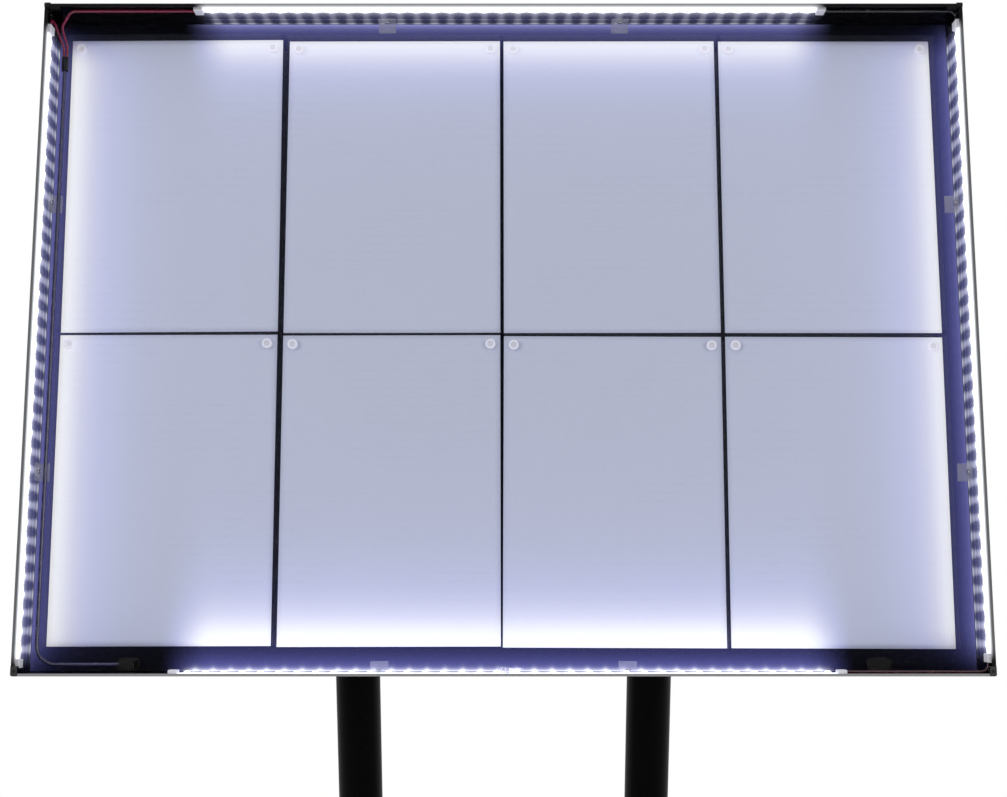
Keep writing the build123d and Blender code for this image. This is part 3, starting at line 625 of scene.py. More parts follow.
def rgba(shade):
    """A colour with full alpha."""
    return (shade[0], shade[1], shade[2], 1.0)


def deeper(shade, share):
    """A colour dimmed to a share."""
    return [value * share for value in shade]


def patchy(tree, inputs, mask, shade, share):
    """Feeds a colour that is deeper where a mask is low."""
    tree.links.new(mix_colours(tree, mask, deeper(shade, share), shade), inputs["Base Color"])


def lay_skin(tree, inputs, group, gloss, relief):
    """Feeds the roughness and the relief of a skin, and returns all that it gives."""
    skin = use_group(tree, group, {"Position": object_place(tree), "Smooth": gloss[0], "Dull": gloss[1]})
    tree.links.new(skin["Roughness"], inputs["Roughness"])
    bump(tree, inputs, skin["Height"], *relief)
    return skin


def bump(tree, inputs, height, strength, distance):
    """Feeds a fine relief into the shader's normal."""
    feeds = {"Height": height, "Strength": strength, "Distance": distance}
    tree.links.new(add(tree, "Bump", feeds).outputs["Normal"], inputs["Normal"])


def shine(tree, inputs, light):
    """Feeds a light into the shader's own glow."""
    tree.links.new(light, inputs["Emission Color"])
    inputs["Emission Strength"].default_value = 1.0


# Sockets of a mix node that carry colours
FIRST_COLOUR = 6
SECOND_COLOUR = 7
MIXED_COLOUR = 2


def mix_colours(tree, mask, first, second):
    """Mix of two colours by a mask."""
    feeds = {0: mask}
    for socket, value in ((FIRST_COLOUR, first), (SECOND_COLOUR, second)):
        feeds[socket] = value if isinstance(value, bpy.types.NodeSocket) else rgba(value)
    return add(tree, "Mix", feeds, data_type="RGBA").outputs[MIXED_COLOUR]


def painted(name, shade, gloss, glow=None, reflection_edge=None):
    """Black powder coat with orange peel and dust, lit where a glow is given, with a painted reflection of
    the floor as a pale band at a low edge.
    """
    material, tree, inputs = start_finish(name, Specular_IOR_Level=gloss[2])
    skin = lay_skin(tree, inputs, "paint_skin", gloss, COAT_RELIEF)
    dusty = [value + DUST_PALE for value in shade]
    coat = mix_colours(tree, skin["Dust"], shade, dusty)
    # Painted reflection: the pale floor mirrored in the rail is painted as a grey band along its low edge
    if reflection_edge:
        distance = strip_sides(tree, case_place(tree))["bottom"][0]
        coat = mix_colours(tree, ease(tree, distance, *REFLECTION_RIM, 1.0, 0.0), coat, reflection_edge)
    tree.links.new(coat, inputs["Base Color"])
    if glow:
        shine(tree, inputs, glow(tree))
    return material


def wall_light(side):
    """Glow of a strip on the wall that carries it."""

    def glow(tree):
        position = case_place(tree)
        axes = add(tree, "SeparateXYZ", {0: position}).outputs
        low, high = strip_boxes[side]
        depth = calc(tree, "SUBTRACT", axes["Y"], (low.y + high.y) / 2)
        distance, along, half = strip_sides(tree, position)[side]
        feeds = {"Along": along, "Depth": depth, "Half Length": half, "Wash": WALL_WASH[side]}
        light = use_group(tree, "wall_glow", feeds)["Light"]
        inside = ease(tree, distance, *WALL_FACE, 0.0, 1.0)
        ahead = ease(tree, axes["Y"], panel_front, panel_front + PANEL_BEHIND, 1.0, 0.0)
        return tint(tree, calc(tree, "MULTIPLY", inside, ahead), light)

    return glow


def panel_light(light):
    """Glow of all strips on the panel's front."""

    def glow(tree):
        position = case_place(tree)
        edge = use_group(tree, "edge_glow", {"Position": position})
        depth = add(tree, "SeparateXYZ", {0: position}).outputs["Y"]
        front = ease(tree, depth, panel_front, panel_front + PANEL_SKIN, 1.0, 0.0)
        margin = tint(tree, edge["Margin"], light.margin_glow)
        corner = tint(tree, edge["Corner"], light.corner_glow)
        glare = tint(tree, edge["Glare"], light.strip_glow)
        return tint(tree, front, together(tree, together(tree, margin, corner), glare))

    return glow


def near_glare(light):
    """Glare of the bottom strip on what stands beside it."""

    def glow(tree):
        edge = use_group(tree, "edge_glow", {"Position": case_place(tree)})
        glare = tint(tree, edge["Glare"], light.strip_glow)
        return together(tree, glare, tint(tree, edge["Margin"], light.margin_glow))

    return glow


# Light that spills over the door rails, at their outer and their inner edge
RAIL_SPILL = {"left": (0.12, 0.80), "right": (0.12, 0.80), "top": (0.28, 0.70), "bottom": (0.0, 0.06)}


def rail_light(side, light):
    """Glare of a strip over the door rail in front of it."""

    def glow(tree):
        distance, along, half = strip_sides(tree, case_place(tree))[side]
        row = strip_row(tree, along, half, light.wall_fade)
        rise = ease(tree, distance, *RAIL_RISE, *RAIL_SPILL[side])
        face = calc(tree, "MULTIPLY", rise, ease(tree, distance, *RAIL_FACE, 0.0, 1.0))
        return tint(tree, calc(tree, "MULTIPLY", face, row["Window"]), light.strip_glow)

    return glow


def moulded(name, shade, gloss, **sockets):
    """Moulded plastic or rubber with a fine grain."""
    material, tree, inputs = start_finish(name, Specular_IOR_Level=gloss[2], **sockets)
    skin = lay_skin(tree, inputs, "plastic_skin", gloss, MOULD_RELIEF)
    patchy(tree, inputs, skin["Shade"], shade, MOULD_DEEP)
    return material


def plated(name, shade, gloss, glow=None):
    """Plated metal with turning marks, lit where a glow is given."""
    material, tree, inputs = start_finish(name, Metallic=1.0)
    skin = lay_skin(tree, inputs, "metal_skin", gloss, METAL_RELIEF)
    patchy(tree, inputs, skin["Patch"], shade, METAL_DEEP)
    if glow:
        shine(tree, inputs, glow(tree))
    return material


def paper_finish(colours):
    """Paper with fibres, faint unreadable rows, a dim lavender base that is painted shade of the half-light
    away from the strips, and the light of the strips.
    """
    material, tree, inputs = start_finish("sheet_paper", Specular_IOR_Level=0.15, Roughness=0.75)
    position = case_place(tree)
    axes = add(tree, "SeparateXYZ", {0: position}).outputs
    fibre = rough_noise(tree, position, FIBRE_SCALE, detail=3.0)
    cloud = rough_noise(tree, position, PAPER_CLOUD_SCALE, detail=3.0)
    row = calc(tree, "PINGPONG", axes["Z"], ROW_HALF)
    line = ease(tree, row, *ROW_RIM, 1.0, 0.0)
    word = rough_noise(tree, position, WORD_SCALE, detail=1.0, stretch=WORD_STRETCH)
    block = rough_noise(tree, position, TEXT_BLOCK_SCALE, detail=1.0, stretch=TEXT_BLOCK_STRETCH)
    ghost = calc(tree, "MULTIPLY", line, ease(tree, word, *WORD_SHOWS, 0.0, 1.0))
    ghost = calc(tree, "MULTIPLY", ghost, ease(tree, block, *TEXT_BLOCK_SHOWS))
    # Painted shade: the paper's dim lavender base stands in for the half-light away from the strips
    shade = mix_colours(tree, ghost, colours.paper, colours.print_ghost)
    shadow = calc(tree, "MULTIPLY", cloud, PAPER_CLOUD_SHARE)
    tree.links.new(mix_colours(tree, shadow, shade, deeper(colours.paper, PAPER_DEEP)), inputs["Base Color"])
    glow = use_group(tree, "edge_glow", {"Position": position})["Sheet"]
    ramp = add(tree, "ValToRGB", {"Fac": glow})
    stops = ramp.color_ramp.elements
    stops.remove(stops[1])
    for place, light in PAPER_LIGHT[1:]:
        stops.new(place).color = rgba(light)
    stops[0].color = rgba(PAPER_LIGHT[0][1])
    shine(tree, inputs, ramp.outputs["Color"])
    waves = calc(tree, "MULTIPLY", cloud, PAPER_CLOUD_RELIEF)
    bump(tree, inputs, calc(tree, "ADD", fibre, waves), *PAPER_RELIEF)
    return material


def board_finish(colours, light):
    """White strip board, brightest around its chips."""
    material, tree, inputs = start_finish("strip_board", Specular_IOR_Level=0.4, Roughness=0.45)
    position = case_place(tree)
    weave = rough_noise(tree, position, WEAVE_SCALE, detail=2.0)
    patchy(tree, inputs, weave, colours.strip_white, BOARD_DEEP)
    lit = 0.0
    for distance, along, half in strip_sides(tree, position).values():
        row = strip_row(tree, along, half, light.wall_fade)
        close = ease(tree, distance, *BOARD_RIM, 1.0, 0.0)
        beat = calc(tree, "MULTIPLY", row["Beat"], BOARD_BEAT)
        lit = calc(tree, "ADD", lit, calc(tree, "MULTIPLY", beat, close))
    shine(tree, inputs, tint(tree, calc(tree, "ADD", lit, BOARD_LIGHT), light.strip_glow))
    bump(tree, inputs, weave, *BOARD_RELIEF)
    return material


def lamp_finish(light):
    """Glowing window of a light chip."""
    material, tree, inputs = start_finish("led_light", Base_Color=(0.95, 0.92, 0.75, 1.0), Roughness=0.35)
    cells = rough_noise(tree, object_place(tree), LAMP_CELL_SCALE, detail=1.0)
    shine(tree, inputs, tint(tree, ease(tree, cells, *LAMP_CELL_LIGHT), light.strip_glow))
    inputs["Emission Strength"].default_value = light.chip_strength
    return material


def lit_plastic(name, shade, kind, **sockets):
    """Pale plastic that also picks up the light of the strips."""
    material = moulded(name, shade, GLOSS[kind], **sockets)
    tree = material.node_tree
    inputs = next(node for node in tree.nodes if node.type == "BSDF_PRINCIPLED").inputs
    glow = use_group(tree, "edge_glow", {"Position": case_place(tree)})["Sheet"]
    shine(tree, inputs, tint(tree, calc(tree, "MULTIPLY", glow, LIT_SHARE[kind]), LIT_COLOUR))
    return material


def pane_finish():
    """Clear pane with faint smears."""
    material, tree, inputs = start_finish(
        "pane_clear", Base_Color=(0.96, 0.98, 1.0, 1.0), IOR=1.45, Transmission_Weight=1.0, Alpha=0.02
    )
    smear = rough_noise(tree, object_place(tree), SMEAR_SCALE, detail=4.0, stretch=SMEAR_STRETCH)
    tree.links.new(ease(tree, smear, *SMEAR_ROUGHNESS), inputs["Roughness"])
    return material


def wire_finish(name, shade):
    """Shiny cable jacket with slight waves."""
    material, tree, inputs = start_finish(name, Specular_IOR_Level=0.6)
    wave = rough_noise(tree, object_place(tree), JACKET_WAVE_SCALE, detail=2.0)
    patchy(tree, inputs, wave, shade, JACKET_DEEP)
    tree.links.new(ease(tree, wave, *JACKET_ROUGHNESS), inputs["Roughness"])
    bump(tree, inputs, wave, *JACKET_RELIEF)
    return material


# Points closer than this are one, and edges sharper than this are softened
JOIN_REACH = 0.000001
SHARP_ANGLE = math.radians(50)


def dress(finish, *names):
    """Gives a finish to nodes of the frame or to new pieces."""
    for name in names:
        piece = bpy.data.objects[name]
        piece.data.materials.clear()
        piece.data.materials.append(finish)


def soften(width, *names):
    """Rounds the sharp edges of nodes with live modifiers."""
    for name in names:
        piece = frame["nodes"][name]
        weld = piece.modifiers.new("join corners", "WELD")
        weld.merge_threshold = JOIN_REACH
        edge = piece.modifiers.new("soft edges", "BEVEL")
        edge.width = width
        edge.segments = 2
        edge.limit_method = "ANGLE"
        edge.angle_limit = SHARP_ANGLE


def place_object(name, data):
    """New object in the scene."""
    made = bpy.data.objects.new(name, data)
    bpy.context.scene.collection.objects.link(made)
    return made


def finish_piece(name, shape, finish, body, replaced=(), smooth=True):
    """Turns a shape into a piece that rides on a body."""
    bmesh.ops.recalc_face_normals(shape, faces=shape.faces)
    mesh = bpy.data.meshes.new(name)
    for face in shape.faces:
        face.smooth = smooth
    shape.to_mesh(mesh)
    shape.free()
    piece = place_object(name, mesh)
    mesh.materials.append(finish)
    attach(piece, body)
    if replaced:
        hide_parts(*replaced)


def repeat_shape(template, places):
    """One shape made of copies of a template at several places."""
    mesh = bpy.data.meshes.new("template")
    template.to_mesh(mesh)
    template.free()
    shape = bmesh.new()
    for place in places:
        first = len(shape.verts)
        shape.from_mesh(mesh)
        shape.verts.ensure_lookup_table()
        bmesh.ops.transform(shape, matrix=place, verts=shape.verts[first:])
    bpy.data.meshes.remove(mesh)
    return shape


def round_edges(shape, edges, offset, segments):
    """Rounds edges of a shape."""
    bmesh.ops.bevel(
        shape, geom=edges, offset=offset, segments=segments, profile=0.5, material=-1, affect="EDGES"
    )


def box_shape(size, middle, edge):
    """Box with softened edges."""
    shape = bmesh.new()
    bmesh.ops.create_cube(shape, size=1.0)
    bmesh.ops.scale(shape, vec=size, verts=shape.verts)
    bmesh.ops.translate(shape, vec=middle, verts=shape.verts)
    round_edges(shape, shape.edges[:], edge, segments=1)
    return shape


def add_cone(shape, sides, low_radius, high_radius, bottom, height):
    """Adds an upright cone or disc to a shape."""
    bmesh.ops.create_cone(
        shape,
        cap_ends=True,
        segments=sides,
        radius1=low_radius,
        radius2=high_radius,
        depth=height,
        matrix=Matrix.Translation((0.0, 0.0, bottom + height / 2)),
    )


# Outline of a chip's bright window
LENS_SIDES = 12
LENS_TAPER = 0.8


def wall_frame(side):
    """Frame on a strip: X along it, Y into the depth, Z away from its wall."""
    low, high = strip_boxes[side]
    middle = (low + high) / 2
    seat = {
        "bottom": Vector((middle.x, middle.y, low.z)),
        "top": Vector((middle.x, middle.y, high.z)),
        "left": Vector((low.x, middle.y, middle.z)),
        "right": Vector((high.x, middle.y, middle.z)),
    }[side]
    turn = {"bottom": 0.0, "top": math.pi, "left": math.pi / 2, "right": -math.pi / 2}[side]
    return case_frame @ Matrix.Translation(seat) @ Matrix.Rotation(turn, 4, "Y")


def strip_steps(pitch):
    """Places at an even pitch along all four strips, half a pitch from their ends."""
    places = []
    for side in SIDES:
        low, high = strip_boxes[side]
        span = max(high.x - low.x, high.z - low.z)
        count = round(span / pitch)
        for step in range(count):
            along = (step - (count - 1) / 2) * pitch
            places.append(wall_frame(side) @ Matrix.Translation((along, 0.0, 0.0)))
    return places


class DISPLAYCASE_OT_groups(bpy.types.Operator):
    """Builds the shared effects of the finishes"""

    bl_idname = "display_case.groups"
    bl_label = "Shared effects"

    def execute(self, context):
        light = context.scene.case_light
        make_strip_row(light)
        make_fall_off()
        make_edge_glow(light)
        make_wall_glow(light)
        make_paint_skin()
        make_metal_skin()
        make_plastic_skin()
        return {"FINISHED"}


class DISPLAYCASE_OT_shell(bpy.types.Operator):
    """Finishes the walls, the panel and what is fixed to them"""

    bl_idname = "display_case.shell"
    bl_label = "Case shell"

    def execute(self, context):
        colours = context.scene.case_colours
        light = context.scene.case_light
        edge = context.scene.case_sizes.edge_round
        for side in SIDES:
            wall = "case_" + side + "_wall"
            dress(painted(wall + "_paint", colours.case_black, GLOSS["wall"], wall_light(side)), wall)
            soften(edge, wall)
        panel = painted("panel_paint", colours.panel_black, GLOSS["panel"], panel_light(light))
        dress(panel, "back_panel")
        entry = moulded("entry_plastic", colours.plastic_black, GLOSS["entry"])
        dress(entry, "cable_entry", "blank_plug")
        dress(lit_plastic("clip_clear", colours.clip_clear, "clip", Alpha=CLIP_ALPHA), "panel_clips")
        ears = painted("ear_paint", colours.case_black, GLOSS["ear"])
        dress(ears, "hinge_ear_left", "hinge_ear_right")
        dress(moulded("seal_rubber", colours.rubber_black, GLOSS["seal"]), "door_seals")
        return {"FINISHED"}


class DISPLAYCASE_OT_strips(bpy.types.Operator):
    """Finishes the light strips and adds their chips and resistors"""

    bl_idname = "display_case.strips"
    bl_label = "Light strips"

    def execute(self, context):
        colours = context.scene.case_colours
        light = context.scene.case_light
        sizes = context.scene.case_sizes
        board = board_finish(colours, light)
        dress(board, *("led_strip_" + side for side in SIDES))
        dress(lit_plastic("cap_white", colours.cap_white, "cap"), "strip_end_caps")
        low, high = strip_boxes["bottom"]
        seat = high.z - low.z
        chips = strip_steps(light.chip_pitch)
        side = sizes.chip_size
        crown = seat + sizes.chip_height
        middle = (0.0, 0.0, seat + sizes.chip_height / 2)
        body = box_shape((side, side, sizes.chip_height), middle, sizes.chip_edge)
        housings = repeat_shape(body, chips)
        finish_piece("led_housings", housings, board, "case", ["led_chips"], False)
        lens = bmesh.new()
        top = sizes.lens_radius * LENS_TAPER
        add_cone(lens, LENS_SIDES, sizes.lens_radius, top, crown, sizes.lens_height)
        lamp = lamp_finish(light)
        finish_piece("led_lenses", repeat_shape(lens, chips), lamp, "case", (), False)
        offset = Matrix.Translation((light.chip_pitch / 2, sizes.resistor_setback, 0.0))
        size = (sizes.resistor_length, sizes.resistor_width, sizes.resistor_height)
        chip = box_shape(size, (0.0, 0.0, seat + sizes.resistor_height / 2), sizes.resistor_edge)
        places = [place @ offset for place in chips]
        grey = lit_plastic("resistor_grey", colours.resistor_grey, "resistor")
        finish_piece("strip_resistors", repeat_shape(chip, places), grey, "case", (), False)
        return {"FINISHED"}


class DISPLAYCASE_OT_wiring(bpy.types.Operator):
    """Finishes the cable, the splice and the wires"""

    bl_idname = "display_case.wiring"
    bl_label = "Wiring"

    def execute(self, context):
        colours = context.scene.case_colours
        # The feed jacket's purple tint is painted light of the strips on a dark cable
        dress(wire_finish("feed_jacket", colours.feed_dark_with_painted_light), "feed_cable")
        dress(wire_finish("wire_red", colours.wire_red), "feed_wire", "left_link_wire")
        # Painted shade: the bottom link wire is red, darkened to stand in for the shade of its corner
        dress(wire_finish("wire_red_in_painted_shade", colours.wire_red_in_painted_shade), "bottom_link_wire")
        dress(wire_finish("wire_black", colours.wire_black), "right_link_wire")
        dress(moulded("splice_sleeve", colours.plastic_black, GLOSS["splice"]), "feed_splice")
        return {"FINISHED"}


class DISPLAYCASE_OT_sheets(bpy.types.Operator):
    """Lays the paper sheets on the panel and finishes their magnets"""

    bl_idname = "display_case.sheets"
    bl_label = "Sheets and magnets"

    def execute(self, context):
        colours = context.scene.case_colours
        sizes = context.scene.case_sizes
        paper = paper_finish(colours)
        names = sorted(name for name in frame["nodes"] if name.startswith("info_sheet_"))
        for number, name in enumerate(names):
            shape = paper_shape(name, number, sizes)
            finish_piece("paper_" + name[-1], shape, paper, "case", [name])
        dress(lit_plastic("magnet_white", colours.magnet_white, "magnet cup"), "magnet_housings")
        dress(lit_plastic("magnet_grey", colours.magnet_grey, "magnet core"), "magnet_cores")
        return {"FINISHED"}


# Squares across and up a sheet, and the fineness of its waves and creases across and up
PAPER_COLUMNS = 36
PAPER_ROWS = 50
WAVE_FINENESS = (3.1, 4.3)
CREASE_FINENESS = (9.0, 12.0)

# Steps in the noise from one sheet to the next
WAVE_STEP = (7.3, 1.7)
CREASE_STEP = (-3.9, 5.1)

# How far a sheet stands off: shares of an even stand, waves and creases, and its seat in thicknesses
STAND_SHARES = (0.5, 0.4, 0.1)
PAPER_SEAT = 1.5

# How free a sheet is: shares all over and towards its sides, how fast it loosens, and where it lifts
FREE_SHARES = (0.3, 0.7)
LOOSE_RATE = 4
LIFT_AFTER = 0.6


def paper_noise(across, up, number, fineness, step):
    """Noise over a sheet, different on each one."""
    return noise.noise(Vector((across * fineness[0] + number * step[0], up * fineness[1], number * step[1])))


def paper_shape(name, number, sizes):
    """Slightly cockled sheet of paper in the place of its node."""
    low, high = case_box(name)
    middle = (low + high) / 2
    top = [corner for corner in case_points(name) if corner.z > middle.z]
    left = min(top, key=lambda corner: corner.x - middle.x)
    right = max(top, key=lambda corner: corner.x - middle.x)
    turn = math.atan2(right.z - left.z, right.x - left.x)
    width = math.hypot(right.x - left.x, right.z - left.z)
    height = left.z + right.z - 2 * middle.z
    even, waved, creased = STAND_SHARES
    all_over, sideways = FREE_SHARES
    shape = bmesh.new()
    bmesh.ops.create_grid(shape, x_segments=PAPER_COLUMNS, y_segments=PAPER_ROWS, size=0.5)
    for vertex in shape.verts:
        across, up = vertex.co.x, vertex.co.y
        wave = paper_noise(across, up, number, WAVE_FINENESS, WAVE_STEP)
        crease = paper_noise(across, up, number, CREASE_FINENESS, CREASE_STEP)
        free = (0.5 - up) * (all_over + sideways * abs(2 * across))
        stand = even + waved * wave + creased * crease
        stand *= sizes.paper_cockle * min(1.0, LOOSE_RATE * free)
        stand += sizes.paper_lift * max(0.0, free - LIFT_AFTER) ** 2 * (1.0 + wave)
        vertex.co = Vector((across * width, -stand - sizes.paper_thickness * PAPER_SEAT, up * height))
    bmesh.ops.recalc_face_normals(shape, faces=shape.faces)
    bmesh.ops.solidify(shape, geom=shape.faces[:], thickness=sizes.paper_thickness)
    place = Matrix.Translation((middle.x, panel_front, middle.z)) @ Matrix.Rotation(-turn, 4, "Y")
    bmesh.ops.transform(shape, matrix=case_frame @ place, verts=shape.verts)
    return shape


class DISPLAYCASE_OT_door(bpy.types.Operator):
    """Finishes the door and its hinges"""

    bl_idname = "display_case.door"
    bl_label = "Door"

    def execute(self, context):
        colours = context.scene.case_colours
        edge = context.scene.case_sizes.edge_round
        rails = {
            "top": "door_top_rail",
            "bottom": "door_bottom_rail",
            "left": "door_rail_left",
            "right": "door_rail_right",
        }
        for side, rail in rails.items():
            spill = rail_light(side, context.scene.case_light)
            # Painted reflection of the floor along the bottom rail's low edge
            bare = colours.floor_reflection_grey if side == "bottom" else None
            dress(painted(rail + "_paint", colours.door_black, GLOSS["rail"], spill, bare), rail)
            soften(edge, rail)
        dress(painted("hinge_paint", colours.door_black, GLOSS["hinge"]), "door_hinge_blocks")
        dress(pane_finish(), "door_pane")
        dress(moulded("corner_plastic", colours.plastic_black, GLOSS["corner"]), "door_corner_caps")
        keeper = moulded("keeper_clear", colours.clip_clear, GLOSS["keeper"], Alpha=KEEPER_ALPHA)
        dress(keeper, "lock_keeper")
        dress(plated("pin_steel", colours.steel, PLATING["pin"]), "hinge_pins", "ear_rivets")
        dress(plated("cap_screw_black", colours.lock_black, PLATING["cap screw"]), "cap_screws")
        return {"FINISHED"}


class DISPLAYCASE_OT_lock(bpy.types.Operator):
    """Finishes the lock"""

    bl_idname = "display_case.lock"
    bl_label = "Lock"

    def execute(self, context):
        colours = context.scene.case_colours
        glare = near_glare(context.scene.case_light)
        dress(painted("lock_black", colours.lock_black, GLOSS["lock"], glare), "lock_housing")
        steel = plated("lock_steel", colours.steel, PLATING["lock"], glare)
        dress(steel, "lock_nut", "lock_cam", "cam_screw")
        dress(plated("plug_steel", colours.steel, PLATING["lock"]), "lock_plug")
        return {"FINISHED"}


def socket_radius(angle, radius):
    """Outline of a six-sided socket."""
    sixth = math.pi / 3
    return radius * math.cos(sixth / 2) / math.cos(angle % sixth - sixth / 2)


def spin_round(shape, steps):
    """Turns the points and edges of a shape once round the upright axis."""
    bmesh.ops.spin(
        shape,
        geom=shape.verts[:] + shape.edges[:],
        cent=(0.0, 0.0, 0.0),
        axis=(0.0, 0.0, 1.0),
        angle=2 * math.pi,
        steps=steps,
        use_merge=True,
    )


# Domed screw head: reach as a share of its radius and height as a share of its own, then the same for
# its recess, whose reach is a share of the recess
DOME_PROFILE = ((0.94, 0.0), (1.0, 0.12), (0.98, 0.40), (0.86, 0.70), (0.66, 0.92))
RECESS_PROFILE = ((1.04, 1.0), (0.98, 0.98), (0.9, 0.45), (0.0, 0.40))
RECESS_REACH = 1.06
SCREW_STEPS = 36


def screw_shape(radius, height, recess, outline):
    """Domed screw head with a recess, standing on z = 0."""
    profile = [(radius * reach, height * up) for reach, up in DOME_PROFILE]
    profile += [(recess * reach, height * up) for reach, up in RECESS_PROFILE]
    shape = bmesh.new()
    points = [shape.verts.new((reach, 0.0, up)) for reach, up in profile]
    for first, second in zip(points, points[1:]):
        shape.edges.new((first, second))
    spin_round(shape, SCREW_STEPS)
    bmesh.ops.remove_doubles(shape, verts=shape.verts, dist=JOIN_REACH)
    rim = [edge for edge in shape.edges if edge.is_boundary]
    bmesh.ops.contextual_create(shape, geom=rim)
    for vertex in shape.verts:
        reach = math.hypot(vertex.co.x, vertex.co.y)
        if 0.0 < reach < recess * RECESS_REACH:
            share = outline(math.atan2(vertex.co.y, vertex.co.x), reach) / reach
            vertex.co.x *= share
            vertex.co.y *= share
    return shape


# Bolt head: its sides, share of its height in the washer flange, bevel of its crown, taper of the flange
HEAD_SIDES = 6
FLANGE_SHARE = 0.28
CROWN_FROM = 0.9
CROWN_BEVEL = 0.06
FLANGE_TAPER = 0.94
FLANGE_SIDES = 32


def bolt_shape(across, height, washer):
    """Hexagon bolt head with a turned top and a washer flange, standing on z = 0."""
    flange = height * FLANGE_SHARE
    corner = across / math.sqrt(3)
    head = bmesh.new()
    add_cone(head, HEAD_SIDES, corner, corner, flange, height - flange)
    crown = [edge for edge in head.edges if all(vertex.co.z > height * CROWN_FROM for vertex in edge.verts)]
    round_edges(head, crown, across * CROWN_BEVEL, segments=2)
    add_cone(head, FLANGE_SIDES, washer, washer * FLANGE_TAPER, 0.0, flange)
    return head


def solid_middles(node_name):
    """Middle of each separate solid of a node, in a fixed order."""
    shape = bmesh.new()
    shape.from_mesh(frame["nodes"][node_name].data)
    bmesh.ops.remove_doubles(shape, verts=shape.verts, dist=2 * JOIN_REACH)
    left = set(shape.verts)
    middles = []
    while left:
        island = [left.pop()]
        for vertex in island:
            for edge in vertex.link_edges:
                other = edge.other_vert(vertex)
                if other in left:
                    left.remove(other)
                    island.append(other)
        middles.append(sum(corners([vertex.co for vertex in island]), Vector()) / 2)
    shape.free()
    return sorted(middles, key=tuple)


# Weld bead: points round it, steps round the post, ripples round the post and how far they swell
BEAD_SIDES = 10
BEAD_STEPS = 120
BEAD_RIPPLES = 30
BEAD_SWELL = (0.9, 0.1, 0.05)
BEAD_NOISE = 90


def weld_shape(middle, radius, bead, rise):
    """Rippled weld bead round a post, raised by a rule for each place round it."""
    even, rippled, rough = BEAD_SWELL
    shape = bmesh.new()
    ring = Matrix.Translation((radius, 0.0, 0.0)) @ Matrix.Rotation(math.pi / 2, 4, "X")
    bmesh.ops.create_circle(shape, cap_ends=False, radius=bead, segments=BEAD_SIDES, matrix=ring)
    spin_round(shape, BEAD_STEPS)
    for vertex in shape.verts:
        angle = math.atan2(vertex.co.y, vertex.co.x)
        line = Vector((radius * math.cos(angle), radius * math.sin(angle), 0.0))
        swell = even + rippled * math.sin(angle * BEAD_RIPPLES) + rough * noise.noise(line * BEAD_NOISE)
        vertex.co = middle + line + (vertex.co - line) * swell + Vector((0.0, 0.0, rise(line)))
    return shape


class DISPLAYCASE_OT_stand(bpy.types.Operator):
    """Finishes the stand and adds its welds"""

    bl_idname = "display_case.stand"
    bl_label = "Stand"

    def execute(self, context):
        colours = context.scene.case_colours
        sizes = context.scene.case_sizes
        coat = painted("stand_paint", colours.stand_black, GLOSS["stand"])
        for side in ("left", "right"):
            dress(coat, "post_" + side, "foot_flange_" + side, "mounting_bar_" + side)
            soften(sizes.edge_round * 2, "mounting_bar_" + side)
            low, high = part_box("post_" + side)
            middle = (low + high) / 2
            middle.z = low.z
            radius = (high.x - low.x) / 2
            foot = weld_shape(middle, radius, sizes.weld_bead, lambda line: 0.0)
            finish_piece("foot_weld_" + side, foot, coat, "case")
            front = case_box("mounting_bar_" + side)[1].y
            lean = Vector(case_frame.to_3x3() @ Vector((0.0, 1.0, 0.0)))
            start = case_frame @ Vector((0.0, front, 0.0))

            def rise(line, seat=middle, lean=lean, start=start):
                """Height of the bar's back over a place on the post's outline."""
                return start.z - (lean.y * (seat.y + line.y - start.y)) / lean.z - seat.z

            bar = weld_shape(middle, radius, sizes.weld_bead, rise)
            finish_piece("bar_weld_" + side, bar, coat, "case")
        dress(coat, "base_plate")
        return {"FINISHED"}


# Turn from one bolt or screw to the next, in radians
BOLT_TURN = 0.37
SCREW_TURN = 0.6


class DISPLAYCASE_OT_fasteners(bpy.types.Operator):
    """Adds the bolts of the feet and the screws of the bars, and finishes the screws of the clips"""

    bl_idname = "display_case.fasteners"
    bl_label = "Fasteners"

    def execute(self, context):
        colours = context.scene.case_colours
        sizes = context.scene.case_sizes
        steel = plated("screw_steel", colours.steel, PLATING["screw"])
        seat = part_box("foot_flange_left")[1].z
        places = []
        for number, middle in enumerate(solid_middles("foot_bolts")):
            turn = Matrix.Rotation(number * BOLT_TURN, 4, "Z")
            places.append(Matrix.Translation((middle.x, middle.y, seat)) @ turn)
        bolt = bolt_shape(sizes.bolt_across, sizes.bolt_height, sizes.washer_radius)
        bolts = repeat_shape(bolt, places)
        finish_piece("flange_bolts", bolts, steel, "case", ["foot_bolts"], False)
        back = case_box("mounting_bar_left")[1].y
        reach = case_box("bar_screws")[1].y - back
        outward = Matrix.Rotation(-math.pi / 2, 4, "X")
        into_case = case_frame.inverted()
        places = []
        for number, middle in enumerate(solid_middles("bar_screws")):
            spot = into_case @ middle
            turn = outward @ Matrix.Rotation(number * SCREW_TURN, 4, "Z")
            places.append(case_frame @ Matrix.Translation((spot.x, back, spot.z)) @ turn)
        head = screw_shape(sizes.screw_radius, reach, sizes.screw_socket, socket_radius)
        heads = repeat_shape(head, places)
        finish_piece("bar_screw_heads", heads, steel, "case", ["bar_screws"])
        dress(steel, "clip_screws")
        return {"FINISHED"}


# Places of the lamps, and the share of the height at which they aim
KEY_PLACE = Vector((-2.8, -2.3, 2.7))
FILL_PLACE = Vector((2.5, -2.1, 2.0))
AIM_HEIGHT = 0.7

# Outline of the floor, where it starts to fade, and its two shades
FLOOR_SIDES = 96
FLOOR_FADE = 0.55
FLOOR_SHADES = ((0.86, 0.86, 0.86), (0.90, 0.90, 0.90))


